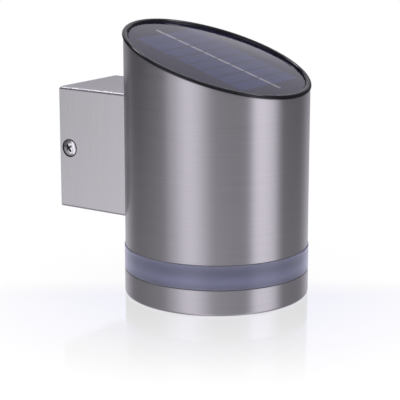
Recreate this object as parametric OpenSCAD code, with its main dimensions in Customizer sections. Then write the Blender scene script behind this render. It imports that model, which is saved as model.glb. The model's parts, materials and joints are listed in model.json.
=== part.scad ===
// Solar wall light: an upright steel tube with a slanted solar top, a frosted light band
// near its foot and a square steel arm that locks over a plate on the wall.
// The wall is the plane y = 0, the light stands out towards -y, and z is up.
// The origin is the middle of the wall plate's back face.

/* [Housing tube] */
// Outer diameter of the housing tube
tube_d = 85; // [82:1:92]
// Sheet thickness of the housing tube
tube_wall = 0.8; // [0.6:0.1:1]
// Height of the tube on its axis, up to the slanted cut
tube_h = 85.8; // [84:0.2:104]
// Slant of the top
slant = 18.1; // [14:0.1:21]

/* [Bezel] */
// Width of the bezel's land, from its outer edge to the opening
bezel_land = 2.6; // [2.3:0.1:3.4]
// How far the bezel stands proud of the tube
bezel_proud = 0.5; // [0.2:0.1:0.8]
// How far the bezel rises above the cut edge of the tube
bezel_rise = 1.2; // [1:0.05:1.8]
// Rounding along the bezel's outer edge
bezel_edge = 0.9; // [0.4:0.05:1]
// Depth of the bezel's spigot inside the tube
bezel_spigot = 9; // [8.4:0.2:12]
// Wall of the bezel's spigot
bezel_wall = 1.6; // [1.4:0.1:2]
// Height of the rubber band round the spigot
band_h = 2; // [1.2:0.1:2.4]
// Depth of the groove for the rubber band
band_groove = 0.8; // [0.5:0.1:1]

/* [Solar panel] */
// Depth of the panel's face below the bezel's top
panel_recess = 1; // [0.8:0.1:1.8]
// Gap between the panel's edge and the bezel
panel_gap = 0.2; // [0.1:0.05:0.4]
// Thickness of the clear cover
cover_t = 1.1; // [0.8:0.1:1.6]
// Thickness of the panel's backing board
backing_t = 1.6; // [1:0.2:2]
// Thickness of the foam tape under the panel
foam_t = 0.5; // [0.3:0.1:0.8]
// Width of the ledge that carries the panel
ledge_w = 4.6; // [4:0.2:6]
// Thickness of the ledge
ledge_t = 1.4; // [1:0.2:2]
// Number of cell strips
cell_count = 8; // [6:1:8]
// Distance from one strip to the next
cell_pitch = 7.6; // [6.5:0.1:7.8]
// Gap between two strips
cell_gap = 0.4; // [0.2:0.1:0.8]
// Length of a strip
cell_w = 46; // [40:1:47]
// Thickness of a strip
cell_t = 0.25; // [0.2:0.05:0.4]
// Width of the silver ribbon down the strips
ribbon_w = 1.8; // [1:0.1:2.5]
// Thickness of the ribbon
ribbon_t = 0.1; // [0.08:0.02:0.2]
// How far the ribbon runs past the last strips
ribbon_tail = 4.4; // [2:0.2:6]
// Turn of the ribbon against the strips, as it is taped on by hand
ribbon_turn = 2; // [0:0.5:3]

/* [Bottom ring and light band] */
// Height of the steel ring at the foot
ring_h = 11.8; // [10:0.2:16]
// How far the ring stands proud of the tube
ring_proud = 0.3; // [0.2:0.05:0.6]
// Sheet thickness of the ring
ring_wall = 0.8; // [0.6:0.1:1]
// Outer bend radius at the foot of the ring
ring_bend = 1.4; // [1.2:0.1:2]
// Width of the ring's lip under the base plate
ring_lip = 5.5; // [4:0.5:6.5]
// Height of the light band that shows
band_light_h = 10.7; // [9:0.1:16]
// How far the light band stands proud of the tube
band_light_proud = 0.35; // [0.25:0.05:0.6]
// Wall of the diffuser where it enters the tube and the ring
spigot_wall = 1.6; // [1.4:0.1:2]
// Height of the diffuser inside the tube
spigot_h = 6; // [5:0.5:8]
// Thickness of the rubber seals above and below the light band
seal_t = 0.5; // [0.4:0.1:0.8]
// Wall of the seals' sleeves
seal_sleeve = 1.2; // [1:0.1:1.5]
// Height of the seals' sleeves
seal_h = 4.5; // [3:0.5:5]
// How far the seals lie back from the outside
seal_inset = 0.3; // [0.2:0.1:0.6]

/* [Wall box] */
// Distance from the wall to the axis of the tube
standoff = 75; // [68:1:90]
// Width of the box
box_w = 45; // [40:1:50]
// Height of the box
box_h = 58; // [56:1:64]
// Sheet thickness of the box
box_wall = 1; // [0.8:0.1:1.5]
// Outer bend radius of the box
box_bend = 1.5; // [1.5:0.1:3]
// Height of the box's middle above the foot of the light
box_rise = 63.7; // [62:0.1:74]
// Distance between the wall and the box's edge
wall_gap = 0.3; // [0.2:0.1:1]

/* [Wall plate] */
// Thickness of the wall plate
plate_t = 1.5; // [1.2:0.1:2]
// Gap between the wall plate and the box round it
plate_gap = 0.5; // [0.3:0.1:0.8]
// Diameter of the two holes for wall screws
wall_hole_d = 4.5; // [4:0.1:5.5]
// Distance between the two wall screws
wall_hole_pitch = 40; // [38:1:42]
// Height of the plate's ears
ear_w = 16; // [13:1:20]
// Depth of the plate's ears
ear_d = 12; // [11:0.5:16]
// Corner radius of the plate and its ears
plate_corner = 2; // [1:0.5:4]

/* [Lock screws] */
// Thread diameter of the lock screws
lock_d = 4; // [3:0.5:4]
// Head diameter of the lock screws
lock_head_d = 8; // [7:0.1:8]
// Head height of the lock screws
lock_head_h = 2.2; // [1.8:0.1:2.6]
// Length of the lock screws
lock_len = 8; // [6:1:10]
// Diameter of the holes in the box for the screw heads
lock_hole_d = 8.8; // [8.4:0.1:9.6]
// Distance from the wall to the lock screws
lock_y = 6; // [5.5:0.1:6.5]

/* [Box bolts] */
// Thread diameter of the two bolts through box and tube
bolt_d = 4; // [3:0.5:4]
// Head diameter of the bolts
bolt_head_d = 7; // [6.5:0.5:8]
// Head height of the bolts
bolt_head_h = 2.4; // [2:0.1:2.8]
// Length of the bolts
bolt_len = 11; // [10:0.5:14]
// Distance between the two bolts
bolt_pitch = 36; // [32:1:38]
// Width of the nuts across flats
nut_w = 7; // [6:0.5:8]
// Height of the nuts
nut_h = 3.2; // [2.4:0.1:3.6]
// Width of the saddle inside the tube
saddle_w = 16; // [12:1:20]
// Thickness of the saddle at its middle
saddle_t = 3; // [2.5:0.1:4]
// Height of the saddle
saddle_h = 48; // [44:1:52]

/* [Bridge and chassis] */
// Height of the steel bridge above the foot of the light
bridge_z = 40; // [39:0.5:44]
// Width of the bridge
bridge_w = 14; // [10:1:14]
// Thickness of the bridge
bridge_t = 1.2; // [1:0.1:2]
// Height of the bridge's welded tabs
bridge_tab = 8; // [5:0.5:10]
// Distance from the end of the battery bay to the axis of a chassis screw
post_inset = 10.5; // [10:0.5:12]
// Thickness of the chassis plate
chassis_t = 2; // [1.8:0.1:2.4]
// Height of the chassis collar above its plate
collar_h = 6.5; // [5:0.5:8]
// Wall of the chassis collar
collar_wall = 2.6; // [2.4:0.1:3]
// Section of the O-ring round the collar
oring_t = 1.3; // [1:0.1:1.6]
// Width of the O-ring groove
oring_groove = 1.8; // [1.7:0.1:2.2]
// Radius of the posts that stand under the bridge
post_r = 3.6; // [3.2:0.1:3.8]
// Radius of the posts at the screw heads
post_foot_r = 4.2; // [4:0.1:4.6]
// Radius of the bosses for the base screws
boss_r = 3.2; // [2.8:0.1:3.4]

/* [Battery bay] */
// Length of a cell
cell_len = 44.5; // [44:0.1:45]
// Diameter of a cell
cell_d = 10.5; // [10:0.1:10.5]
// Gap beside a cell
cell_side_gap = 0.4; // [0.3:0.1:0.6]
// Room in the bay for the contacts and the springs, past the length of a cell
bay_play = 4.5; // [4.1:0.1:5.1]
// Wall of the bay
bay_wall = 1.2; // [1:0.1:1.4]
// Gap between the cells and the bay's ceiling
cell_top_gap = 0.75; // [0.6:0.05:1.2]
// Thickness of the bay's ceiling
ceiling_t = 1.6; // [1.2:0.1:2]
// Gap between the cells and the inside of the base plate
cell_low_gap = 0.45; // [0.35:0.05:0.8]
// Thickness of the contact plates
contact_t = 0.4; // [0.3:0.1:0.5]
// Wire diameter of the contact springs
spring_wire = 0.5; // [0.4:0.1:0.6]
// Turns of a contact spring
spring_turns = 2.5; // [2:0.5:3]

/* [Base plate and battery door] */
// Thickness of the base plate
base_t = 2.4; // [2.2:0.1:3]
// Thickness of the battery door
door_t = 1.8; // [1.6:0.1:1.9]
// Gap round the battery door
door_gap = 0.3; // [0.2:0.05:0.4]
// Radius of the door's hinge barrel
barrel_r = 1.4; // [1.3:0.05:1.5]
// Radius of the door's hinge pins
hinge_pin_r = 0.8; // [0.7:0.05:0.9]
// Length of a hinge pin
hinge_pin_len = 2.2; // [1.8:0.1:2.6]
// Running clearance of the hinge pins
hinge_play = 0.06; // [0.03:0.01:0.1]
// Width of the rubber frame on the door
gasket_w = 1.2; // [0.8:0.1:1.4]
// Height of the rubber frame on the door
gasket_h = 0.6; // [0.4:0.1:0.6]
// Radius of the finger notch at the door
notch_r = 5; // [3:0.5:5]

/* [Base screws] */
// Thread diameter of the base and chassis screws
screw_d = 3; // [2.5:0.5:3]
// Head diameter of the base and chassis screws
screw_head_d = 5.6; // [5:0.1:5.8]
// Head height of the base and chassis screws
screw_head_h = 2; // [1.6:0.1:2]
// Length of the base screws
base_screw_len = 10; // [8:1:14]
// Length of the chassis screws
chassis_screw_len = 26; // [25:1:28]
// Distance of the front base screws from the middle plane
base_screw_x = 17; // [16:0.5:18]
// Distance of the front base screws in front of the axis
base_screw_front = 19; // [18:0.5:19.5]
// Distance of the rear base screw behind the axis
base_screw_rear = 23; // [21.5:0.5:23.5]

/* [Power switch] */
// Distance of the switch in front of the axis
switch_y = 21; // [20.5:0.5:22]
// Travel of the switch knob
switch_travel = 3; // [2:0.5:4]
// Length of the switch body
switch_l = 12; // [11.5:0.5:13]
// Width of the switch body
switch_w = 6.4; // [6:0.2:7]
// Height of the switch body
switch_h = 5.5; // [4.5:0.5:7]
// Length of the switch ears on each side
switch_ear = 4.4; // [4.2:0.2:4.6]
// Length of the knob
knob_l = 4; // [3:0.5:4]
// Width of the knob
knob_w = 2.6; // [2:0.2:3]
// Gap round the knob
knob_gap = 0.3; // [0.2:0.05:0.4]
// Depth of the well round the knob
well_depth = 0.9; // [0.5:0.1:1.2]

/* [Light engine] */
// Number of light chips
led_count = 8; // [6:1:12]
// Gap between the bay's corners and the ring-shaped light board
led_board_gap = 3; // [2.4:0.1:3.6]
// Thickness of the circuit boards
pcb_t = 1.6; // [1:0.2:1.6]
// Length of a light chip
led_l = 3.5; // [2.8:0.1:3.5]
// Width of a light chip
led_w = 2.8; // [2:0.1:2.8]
// Height of a light chip
led_h = 0.8; // [0.5:0.1:1]
// Wall of the reflector
reflector_wall = 1; // [0.8:0.1:1.4]
// Height of the reflector's foot
reflector_foot = 1; // [0.8:0.1:1.5]

/* [Control board] */
// Length of the control board
ctrl_l = 46; // [44:1:48]
// Width of the control board
ctrl_w = 20; // [19:1:20]
// Distance from the board's far edge to the edge of the chassis
ctrl_edge = 11.5; // [11:0.5:12]
// Height of the board's standoffs
ctrl_lift = 2.5; // [2:0.5:4]
// Length of a wire terminal
term_l = 7.5; // [6.5:0.5:7.5]
// Width of a wire terminal
term_w = 5.8; // [5:0.2:6]
// Height of a wire terminal
term_h = 6; // [5:0.5:6]
// Diameter of the choke
choke_d = 8; // [6:0.5:8]
// Height of the choke
choke_h = 6; // [4:0.5:6]
// Diameter of the capacitor
cap_d = 6.3; // [5:0.1:6.3]
// Height of the capacitor
cap_h = 8; // [6:0.5:8]
// Diameter of a wire with its jacket
wire_d = 1.2; // [1:0.1:1.4]

/* [Hidden] */
$fn = 96;

// Overrun of every cut past the face it opens
over = 1;
// Clearance between fixed pieces that fit into each other
fit = 0.1;
// Clearance round a thread in its hole
thread_gap = 0.05;
// Clearance round a screw in a plain hole
screw_gap = 0.2;
// Thickness of the slices that a rounded edge is drawn over
skin = 0.05;
// Arc steps in a turned profile, and the angle from slice to slice on a rounded edge
arc_steps = 10;
edge_step = 22.5;

// Radii of the tube, the ring and the light band
tube_r = tube_d / 2;
tube_in = tube_r - tube_wall;
ring_r = tube_r + ring_proud;
ring_in = ring_r - ring_wall;
band_r = tube_r + band_light_proud;

// Heights of the stack above the foot of the light
base_top = ring_wall + base_t;
light_lo = ring_h + seal_t;
light_hi = light_lo + band_light_h;
tube_lo = light_hi + seal_t;
cut_z = tube_lo + tube_h;
spigot_top = tube_lo + spigot_h;
lamp_top = cut_z + tube_r;
reach = tube_d;

// Bezel and panel, as heights square to the cut
bezel_r = tube_r + bezel_proud;
open_r = bezel_r - bezel_land;
bezel_spigot_r = tube_in - 2 * fit;
panel_r = open_r - panel_gap;
panel_top = bezel_rise - panel_recess;
backing_top = panel_top - cover_t;
cell_top = backing_top + cell_t;
backing_lo = backing_top - backing_t;
ledge_top = backing_lo - foam_t;
ledge_r = open_r - ledge_w;
field_l = cell_count * cell_pitch;
band_lo = -bezel_spigot + bezel_wall;
ribbon_break = 2 * cell_gap;

// Diffuser and seals
spigot_r = tube_in - seal_sleeve - 2 * fit;
diffuser_in = spigot_r - spigot_wall;
seal_in = spigot_r + fit;

// Wall box, plate and bolts
box_in_w = box_w - 2 * box_wall;
box_in_h = box_h - 2 * box_wall;
plate_w = box_in_w - 2 * plate_gap;
plate_h = box_in_h - 2 * plate_gap;
web_y = standoff - tube_r - fit;
saddle_face = tube_in - fit - saddle_t;

// Battery bay round the two cells
cell_axis_pitch = cell_d + cell_side_gap;
bay_l = cell_len + bay_play;
bay_w = cell_axis_pitch + cell_d + 2 * cell_side_gap;
cell_z = base_top + cell_d / 2 + cell_low_gap;
bay_z = cell_z + cell_d / 2 + cell_top_gap;
chassis_pitch = bay_l - 2 * post_inset;

// Chassis and what hangs from it
chassis_r = tube_in - 2 * fit;
chassis_lo = spigot_top;
chassis_hi = chassis_lo + chassis_t;
collar_in = chassis_r - collar_wall;
collar_top = chassis_hi + collar_h;
oring_z = chassis_hi + collar_h / 2;
groove_r = tube_in - oring_t - 2 * fit;
bay_out_l = bay_l + 2 * bay_wall;
bay_out_w = bay_w + 2 * bay_wall;
bay_foot = base_top + fit;
ceiling_top = bay_z + ceiling_t;
head_pocket_r = screw_head_d / 2 + screw_gap;
head_seat = bay_z + screw_head_h + screw_gap;
post_foot_top = head_seat + ceiling_t;
wire_hole_r = 2 * wire_d;

// Battery door and its hinge, about the axis at door_axis_y, door_axis_z
door_lo = ring_wall;
door_hi = door_lo + door_t;
door_axis_y = bay_out_w / 2 + barrel_r + screw_gap;
door_axis_z = door_lo + barrel_r + fit;
door_half_l = bay_out_l / 2;
door_half_w = bay_out_w / 2;
hinge_lug = hinge_pin_len + door_gap;
hinge_lug_wall = 1;
hinge_lug_r = hinge_pin_r + hinge_play + hinge_lug_wall;

// Battery parts
wrap_t = 0.15;
nub_r = cell_d / 4;
nub_h = 1;
contact_x = bay_l / 2 - fit / 2;
cell_end = contact_x - contact_t - fit / 2;
contact_half_w = cell_d / 2 - 2 * contact_t;
contact_lo = cell_z - cell_d / 2 + contact_t;
contact_hi = bay_z - screw_gap;
contact_tab = 1.2;
contact_tab_top = ceiling_top + 2 * contact_tab;
spring_big_share = 0.78;
spring_small_share = 0.46;

// Base plate round the screws and the switch
base_r = ring_r - ring_bend - 2 * fit;
lip_in = ring_r - ring_lip;
cup_wall = 1.3;
cup_r = head_pocket_r + cup_wall;
cup_floor = 1.5;
cup_seat = ring_wall + screw_head_h + 3 * screw_gap;
cup_top = cup_seat + cup_floor;
notch_depth = door_t / 2;
well_margin = 3;

// Switch
switch_lo = base_top;
switch_top = switch_lo + switch_h;
knob_lo = door_lo + screw_gap;
knob_foot_t = 1.2;
knob_foot_lo = base_top + knob_gap;
knob_foot_side = 0.7;
knob_top = knob_foot_lo + knob_foot_t;
knob_rib = 0.5;
slot_half_l = (knob_l + switch_travel) / 2 + knob_gap;
slot_half_w = knob_w / 2 + knob_gap;
channel_half_l = slot_half_l + knob_foot_side;
channel_half_w = slot_half_w + knob_foot_side;
channel_top = knob_top + knob_gap;
switch_ear_t = 1.2;
small_screw_d = 2;
small_head_d = 3.8;
small_head_h = 1.4;
switch_screw_len = 3;
switch_screw_x = (switch_l + switch_ear) / 2;

// Light engine
led_board_r = diffuser_in - 3 * fit;
led_board_in = norm([bay_out_l, bay_out_w]) / 2 + led_board_gap;
led_board_lo = chassis_lo - pcb_t;
led_ring_r = (led_board_r + led_board_in) / 2;
led_screw_len = 3.2;
led_screw_count = 3;
reflector_top = led_board_lo - fit;
reflector_top_r = led_board_in - 3 * fit;

// Control board on its standoffs
ctrl_y = chassis_r - ctrl_edge - ctrl_w;
ctrl_lo = chassis_hi + ctrl_lift;
ctrl_top = ctrl_lo + pcb_t;
ctrl_far = ctrl_y + ctrl_w;
ctrl_margin = 3;
ctrl_hole_x = ctrl_l / 2 - ctrl_margin;
ctrl_hole_ys = [ctrl_y + ctrl_margin, ctrl_far - ctrl_margin];
standoff_r = 2.4;
ctrl_screw_len = 5;
term_count = 4;
term_pitch = 9;
term_y = ctrl_far - ctrl_margin - small_screw_d;
term_top = ctrl_top + term_h;
term_pin = 2.5;
part_y = ctrl_y + choke_d / 2 + over;
part_x = 13;
chip_l = 5;
chip_w = 4;
chip_h = 1.6;
chip_pins = 4;
chip_pin_w = 0.4;
chip_pin_pitch = 1.27;
chip_pin_l = 1;
choke_waist = 1.4;
choke_flange = 1;
led_wire_y = ctrl_far + 3 * wire_d;
bay_wire_x = bay_l / 2 - wire_hole_r - over;
over_parts = ctrl_top + cap_h + 2 * wire_d;

// Shares of a screw head: the upright part of its side, and the cross in its top
head_side_share = 0.4;
cross_len_share = 0.6;
cross_w_share = 0.17;
cross_depth_share = 0.6;

// Wires: sides of a tube, steps between two chosen points, and how far the first heading
// must lie off x for x to serve as the sideways direction
wire_sides = 8;
wire_steps = 4;
coil_sides = 6;
coil_rings = 16;
unit_share = 0.4;

function unit(v) = v / norm(v);
function arc(c, r, a0, a1) =
    [for (i = [0:arc_steps]) let (a = a0 + (a1 - a0) * i / arc_steps) c + r * [cos(a), sin(a)]];

// Curve through a list of chosen points
function between(a, b, c, d, t) =
    (2 * b + (c - a) * t + (2 * a - 5 * b + 4 * c - d) * t * t + (3 * b - a - 3 * c + d) * t * t * t) / 2;
function smooth(p) = concat(
    [for (i = [0:len(p) - 2], k = [0:wire_steps - 1])
        between(p[max(i - 1, 0)], p[i], p[i + 1], p[min(i + 2, len(p) - 1)], k / wire_steps)],
    [p[len(p) - 1]]);

// Directions along a line of points, and a sideways direction carried along without twist
function headings(p) = [for (i = [0:len(p) - 1]) unit(p[min(i + 1, len(p) - 1)] - p[max(i - 1, 0)])];
function square_to(v, t) = unit(v - (v * t) * t);
function carried(h, v, i = 0) =
    i >= len(h) ? [] : let (s = square_to(v, h[i])) concat([s], carried(h, s, i + 1));

// Tube of radius r along a line of points
module tube_along(p, r, sides) {
    h = headings(p);
    s = carried(h, norm(cross(h[0], [1, 0, 0])) > unit_share ? [1, 0, 0] : [0, 1, 0]);
    rings = [for (i = [0:len(p) - 1], k = [0:sides - 1])
        let (a = 360 * k / sides, b = cross(h[i], s[i])) p[i] + r * (cos(a) * s[i] + sin(a) * b)];
    last = (len(p) - 1) * sides;
    walls = [for (i = [0:len(p) - 2], k = [0:sides - 1])
        let (a = i * sides + k, b = i * sides + (k + 1) % sides)
        each [[a, a + sides, b], [b, a + sides, b + sides]]];
    ends = [for (k = [1:sides - 2]) each [[0, k, k + 1], [last, last + k + 1, last + k]]];
    polyhedron(points = rings, faces = concat(walls, ends));
}

// Moves what follows to the foot of the light's axis
module on_axis() {
    translate([0, -standoff, -box_rise]) children();
}

// Box from its low corner to its high corner
module block(lo, hi) {
    translate(lo) cube(hi - lo);
}

// Upright disc between two heights
module disc(r, lo, hi) {
    translate([0, 0, lo]) cylinder(r = r, h = hi - lo);
}

// Upright pipe between two heights
module pipe(r_out, r_in, lo, hi) {
    difference() {
        disc(r_out, lo, hi);
        disc(r_in, lo - over, hi + over);
    }
}

// Frame whose z runs square to the slanted cut, from the middle of the cut
module on_cut() {
    translate([0, 0, cut_z]) rotate([slant, 0, 0]) children();
}

// Everything between two planes that run along the slanted cut
module slab(lo, hi) {
    on_cut() block([-reach, -reach, lo], [reach, reach, hi]);
}

// Slice of an upright cylinder between two planes along the cut
module slant_disc(r, lo, hi) {
    intersection() {
        disc(r, 0, lamp_top);
        slab(lo, hi);
    }
}

// The same with an upright bore
module slant_pipe(r_out, r_in, lo, hi) {
    difference() {
        slant_disc(r_out, lo, hi);
        disc(r_in, 0, lamp_top);
    }
}

// Rectangle with round corners about the middle
module round_rect(w, h, r) {
    square([w - 2 * r, h], center = true);
    square([w, h - 2 * r], center = true);
    for (x = [-1, 1], y = [-1, 1]) {
        translate([x * (w / 2 - r), y * (h / 2 - r)]) circle(r = r);
    }
}

// Outline in x and z, drawn out from the wall between two distances
module from_wall(near, far) {
    translate([0, -near, 0]) rotate([90, 0, 0]) linear_extrude(height = far - near) children();
}

// Pan-head screw on z: the head stands on z = 0 and the shank runs down
module pan_screw(d, head_d, head_h, len) {
    head_r = head_d / 2;
    side = head_h * head_side_share;
    dome = [for (i = [0:arc_steps]) let (a = 90 * i / arc_steps)
        [head_r * cos(a), side + (head_h - side) * sin(a)]];
    cross_l = head_d * cross_len_share / 2;
    cross_w = head_d * cross_w_share / 2;
    cross_z = head_h * (1 - cross_depth_share);
    difference() {
        union() {
            rotate_extrude() polygon(concat([[0, 0], [head_r, 0]], dome));
            disc(d / 2, -len, head_h / 4);
        }
        block([-cross_l, -cross_w, cross_z], [cross_l, cross_w, head_h + over]);
        block([-cross_w, -cross_l, cross_z], [cross_w, cross_l, head_h + over]);
    }
}

// Six-sided nut on z with a plain bore
module nut(w, h, d) {
    difference() {
        cylinder(d = w / cos(30), h = h, $fn = 6);
        disc(d / 2 + thread_gap, -over, h + over);
    }
}

// Places of repeated fasteners and parts, about the light's axis
module at_bolts() {
    for (s = [-1, 1]) {
        translate([0, 0, box_rise + s * bolt_pitch / 2]) rotate([-90, 0, 0]) children();
    }
}

module at_base_screws() {
    for (p = [[-base_screw_x, -base_screw_front], [base_screw_x, -base_screw_front], [0, base_screw_rear]]) {
        translate([p[0], p[1], 0]) children();
    }
}

module at_chassis_screws() {
    for (s = [-1, 1]) {
        translate([s * chassis_pitch / 2, 0, 0]) children();
    }
}

module at_ctrl_screws() {
    for (s = [-1, 1], y = ctrl_hole_ys) {
        translate([s * ctrl_hole_x, y, 0]) children();
    }
}

module at_led_screws() {
    for (i = [0:led_screw_count - 1]) {
        rotate([0, 0, 360 * i / led_screw_count]) translate([led_ring_r, 0, 0]) children();
    }
}

module at_switch_screws() {
    for (s = [-1, 1]) {
        translate([s * switch_screw_x, -switch_y, 0]) children();
    }
}

// The two cells point opposite ways: s is 1 for the one that points to +x
module at_cells() {
    for (s = [-1, 1]) {
        translate([0, -s * cell_axis_pitch / 2, cell_z]) rotate([0, s * 90, 0]) children();
    }
}

// Wall plate: a bent steel plate with an ear on each side for a lock screw
module wall_plate() {
    color("lightslategray") difference() {
        union() {
            from_wall(0, plate_t) round_rect(plate_w, plate_h, plate_corner);
            for (s = [-1, 1]) {
                ear_x = s * (plate_w - plate_t) / 2;
                intersection() {
                    translate([ear_x - plate_t / 2, 0, 0]) rotate([90, 0, 90])
                        linear_extrude(height = plate_t) round_rect(2 * ear_d, ear_w, plate_corner);
                    block([-box_w, -standoff, -box_h], [box_w, 0, box_h]);
                }
            }
        }
        for (s = [-1, 1]) {
            translate([0, over, s * wall_hole_pitch / 2]) rotate([90, 0, 0])
                cylinder(d = wall_hole_d, h = plate_t + 2 * over);
        }
        translate([-box_w, -lock_y, 0]) rotate([0, 90, 0])
            cylinder(r = lock_d / 2 + thread_gap, h = 2 * box_w);
    }
}

// Lock screws: one in each ear, with its head in the hole in the box's side
module lock_screws() {
    color("gainsboro") for (s = [-1, 1]) {
        translate([s * plate_w / 2, -lock_y, 0]) rotate([0, s * 90, 0])
            pan_screw(lock_d, lock_head_d, lock_head_h, lock_len);
    }
}

// Wall box: folded steel, cut at the front to the round of the tube
module mount_box() {
    color("lightgray") difference() {
        union() {
            from_wall(wall_gap, standoff) difference() {
                round_rect(box_w, box_h, box_bend);
                round_rect(box_in_w, box_in_h, box_bend - box_wall);
            }
            from_wall(web_y - box_wall, web_y) square([box_in_w, box_in_h], center = true);
        }
        on_axis() disc(tube_r + fit, 0, lamp_top);
        translate([-box_w, -lock_y, 0]) rotate([0, 90, 0]) cylinder(d = lock_hole_d, h = 2 * box_w);
        on_axis() at_bolts() disc(bolt_d / 2 + screw_gap, 0, standoff - lock_y);
    }
}

// Bolts from inside the tube through saddle, tube and box
module mount_bolts() {
    color("silver") on_axis() at_bolts() {
        translate([0, 0, saddle_face]) rotate([180, 0, 0])
            pan_screw(bolt_d, bolt_head_d, bolt_head_h, bolt_len);
    }
}

module mount_nuts() {
    color("silver") on_axis() at_bolts() {
        translate([0, 0, tube_r + fit + box_wall]) nut(nut_w, nut_h, bolt_d);
    }
}

// Saddle that backs the tube's wall behind the bolt heads
module saddle_bar() {
    color("darkgray") on_axis() difference() {
        intersection() {
            disc(tube_in - fit, 0, lamp_top);
            block([-saddle_w / 2, saddle_face, box_rise - saddle_h / 2],
                [saddle_w / 2, tube_r, box_rise + saddle_h / 2]);
        }
        at_bolts() disc(bolt_d / 2 + screw_gap, 0, tube_d);
    }
}

module housing_tube() {
    color("silver") on_axis() difference() {
        pipe(tube_r, tube_in, tube_lo, lamp_top);
        slab(0, reach);
        at_bolts() disc(bolt_d / 2 + screw_gap, 0, tube_d);
    }
}

// Steel bridge welded across the tube, tapped for the chassis screws
module tube_bridge() {
    color("slategray") on_axis() difference() {
        intersection() {
            union() {
                block([-reach, -bridge_w / 2, bridge_z], [reach, bridge_w / 2, bridge_z + bridge_t]);
                intersection() {
                    pipe(tube_in, tube_in - bridge_t, bridge_z, bridge_z + bridge_t + bridge_tab);
                    block([-reach, -bridge_w / 2, bridge_z], [reach, bridge_w / 2, lamp_top]);
                }
            }
            disc(tube_in - fit, 0, lamp_top);
        }
        at_chassis_screws() disc(screw_d / 2 + thread_gap, bridge_z - over, bridge_z + bridge_t + over);
    }
}

// Bezel: a land on the cut edge, a spigot in the tube and a ledge under the panel
module bezel_ring() {
    color([0.1, 0.1, 0.11]) on_axis() difference() {
        union() {
            slant_disc(bezel_r, 0, bezel_rise - bezel_edge);
            hull() for (a = [0:edge_step:90]) {
                top = bezel_rise - bezel_edge * (1 - sin(a));
                slant_disc(bezel_r - bezel_edge * (1 - cos(a)), top - skin, top);
            }
            slant_disc(bezel_spigot_r, -bezel_spigot, 0);
        }
        slant_disc(open_r, ledge_top, reach);
        slant_disc(ledge_r, -reach, reach);
        slant_disc(bezel_spigot_r - bezel_wall, -reach, ledge_top - ledge_t);
        slant_pipe(bezel_spigot_r + over, bezel_spigot_r - band_groove, band_lo, band_lo + band_h);
    }
}

// Rubber band in the groove of the spigot
module bezel_seal() {
    color("black") on_axis() slant_pipe(tube_in - fit, bezel_spigot_r - band_groove + fit,
        band_lo + fit, band_lo + band_h - fit);
}

// Every strip of cells, as boxes between two heights over the cut
module cells(lo, hi) {
    for (i = [0:cell_count - 1]) {
        y = (i - cell_count / 2) * cell_pitch;
        block([-cell_w / 2, y + cell_gap / 2, lo], [cell_w / 2, y + cell_pitch - cell_gap / 2, hi]);
    }
}

// Ribbon down the strips: one length for each strip, and a tail at each end
module ribbon(lo, hi) {
    for (i = [0:cell_count - 1]) {
        y = (i - cell_count / 2) * cell_pitch;
        rotate([0, 0, ribbon_turn]) block([-ribbon_w / 2, y + ribbon_break / 2, lo],
            [ribbon_w / 2, y + cell_pitch - ribbon_break / 2, hi]);
    }
}

// Tails lie on the backing board past the field of strips
module ribbon_tails(lo, hi) {
    for (s = [-1, 1]) {
        near = s * (field_l / 2);
        far = s * (field_l / 2 + ribbon_tail);
        rotate([0, 0, ribbon_turn])
            block([-ribbon_w / 2, min(near, far), lo], [ribbon_w / 2, max(near, far), hi]);
    }
}

module panel_cover() {
    color([0.75, 0.8, 0.85, 0.35]) on_axis() difference() {
        slant_disc(panel_r, backing_top, panel_top);
        on_cut() cells(backing_top - over, cell_top);
        on_cut() ribbon(backing_top - over, cell_top + ribbon_t);
        on_cut() ribbon_tails(backing_top - over, backing_top + ribbon_t);
    }
}

module cell_strips() {
    color([0.2, 0.22, 0.36]) on_axis() on_cut() cells(backing_top, cell_top);
}

module cell_ribbon() {
    color("silver") on_axis() on_cut() {
        ribbon(cell_top, cell_top + ribbon_t);
        ribbon_tails(backing_top, backing_top + ribbon_t);
    }
}

module panel_board() {
    color([0.16, 0.17, 0.19]) on_axis() slant_disc(panel_r, backing_lo, backing_top);
}

module panel_foam() {
    color("dimgray") on_axis() slant_pipe(panel_r, ledge_r, ledge_top, backing_lo);
}

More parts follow.
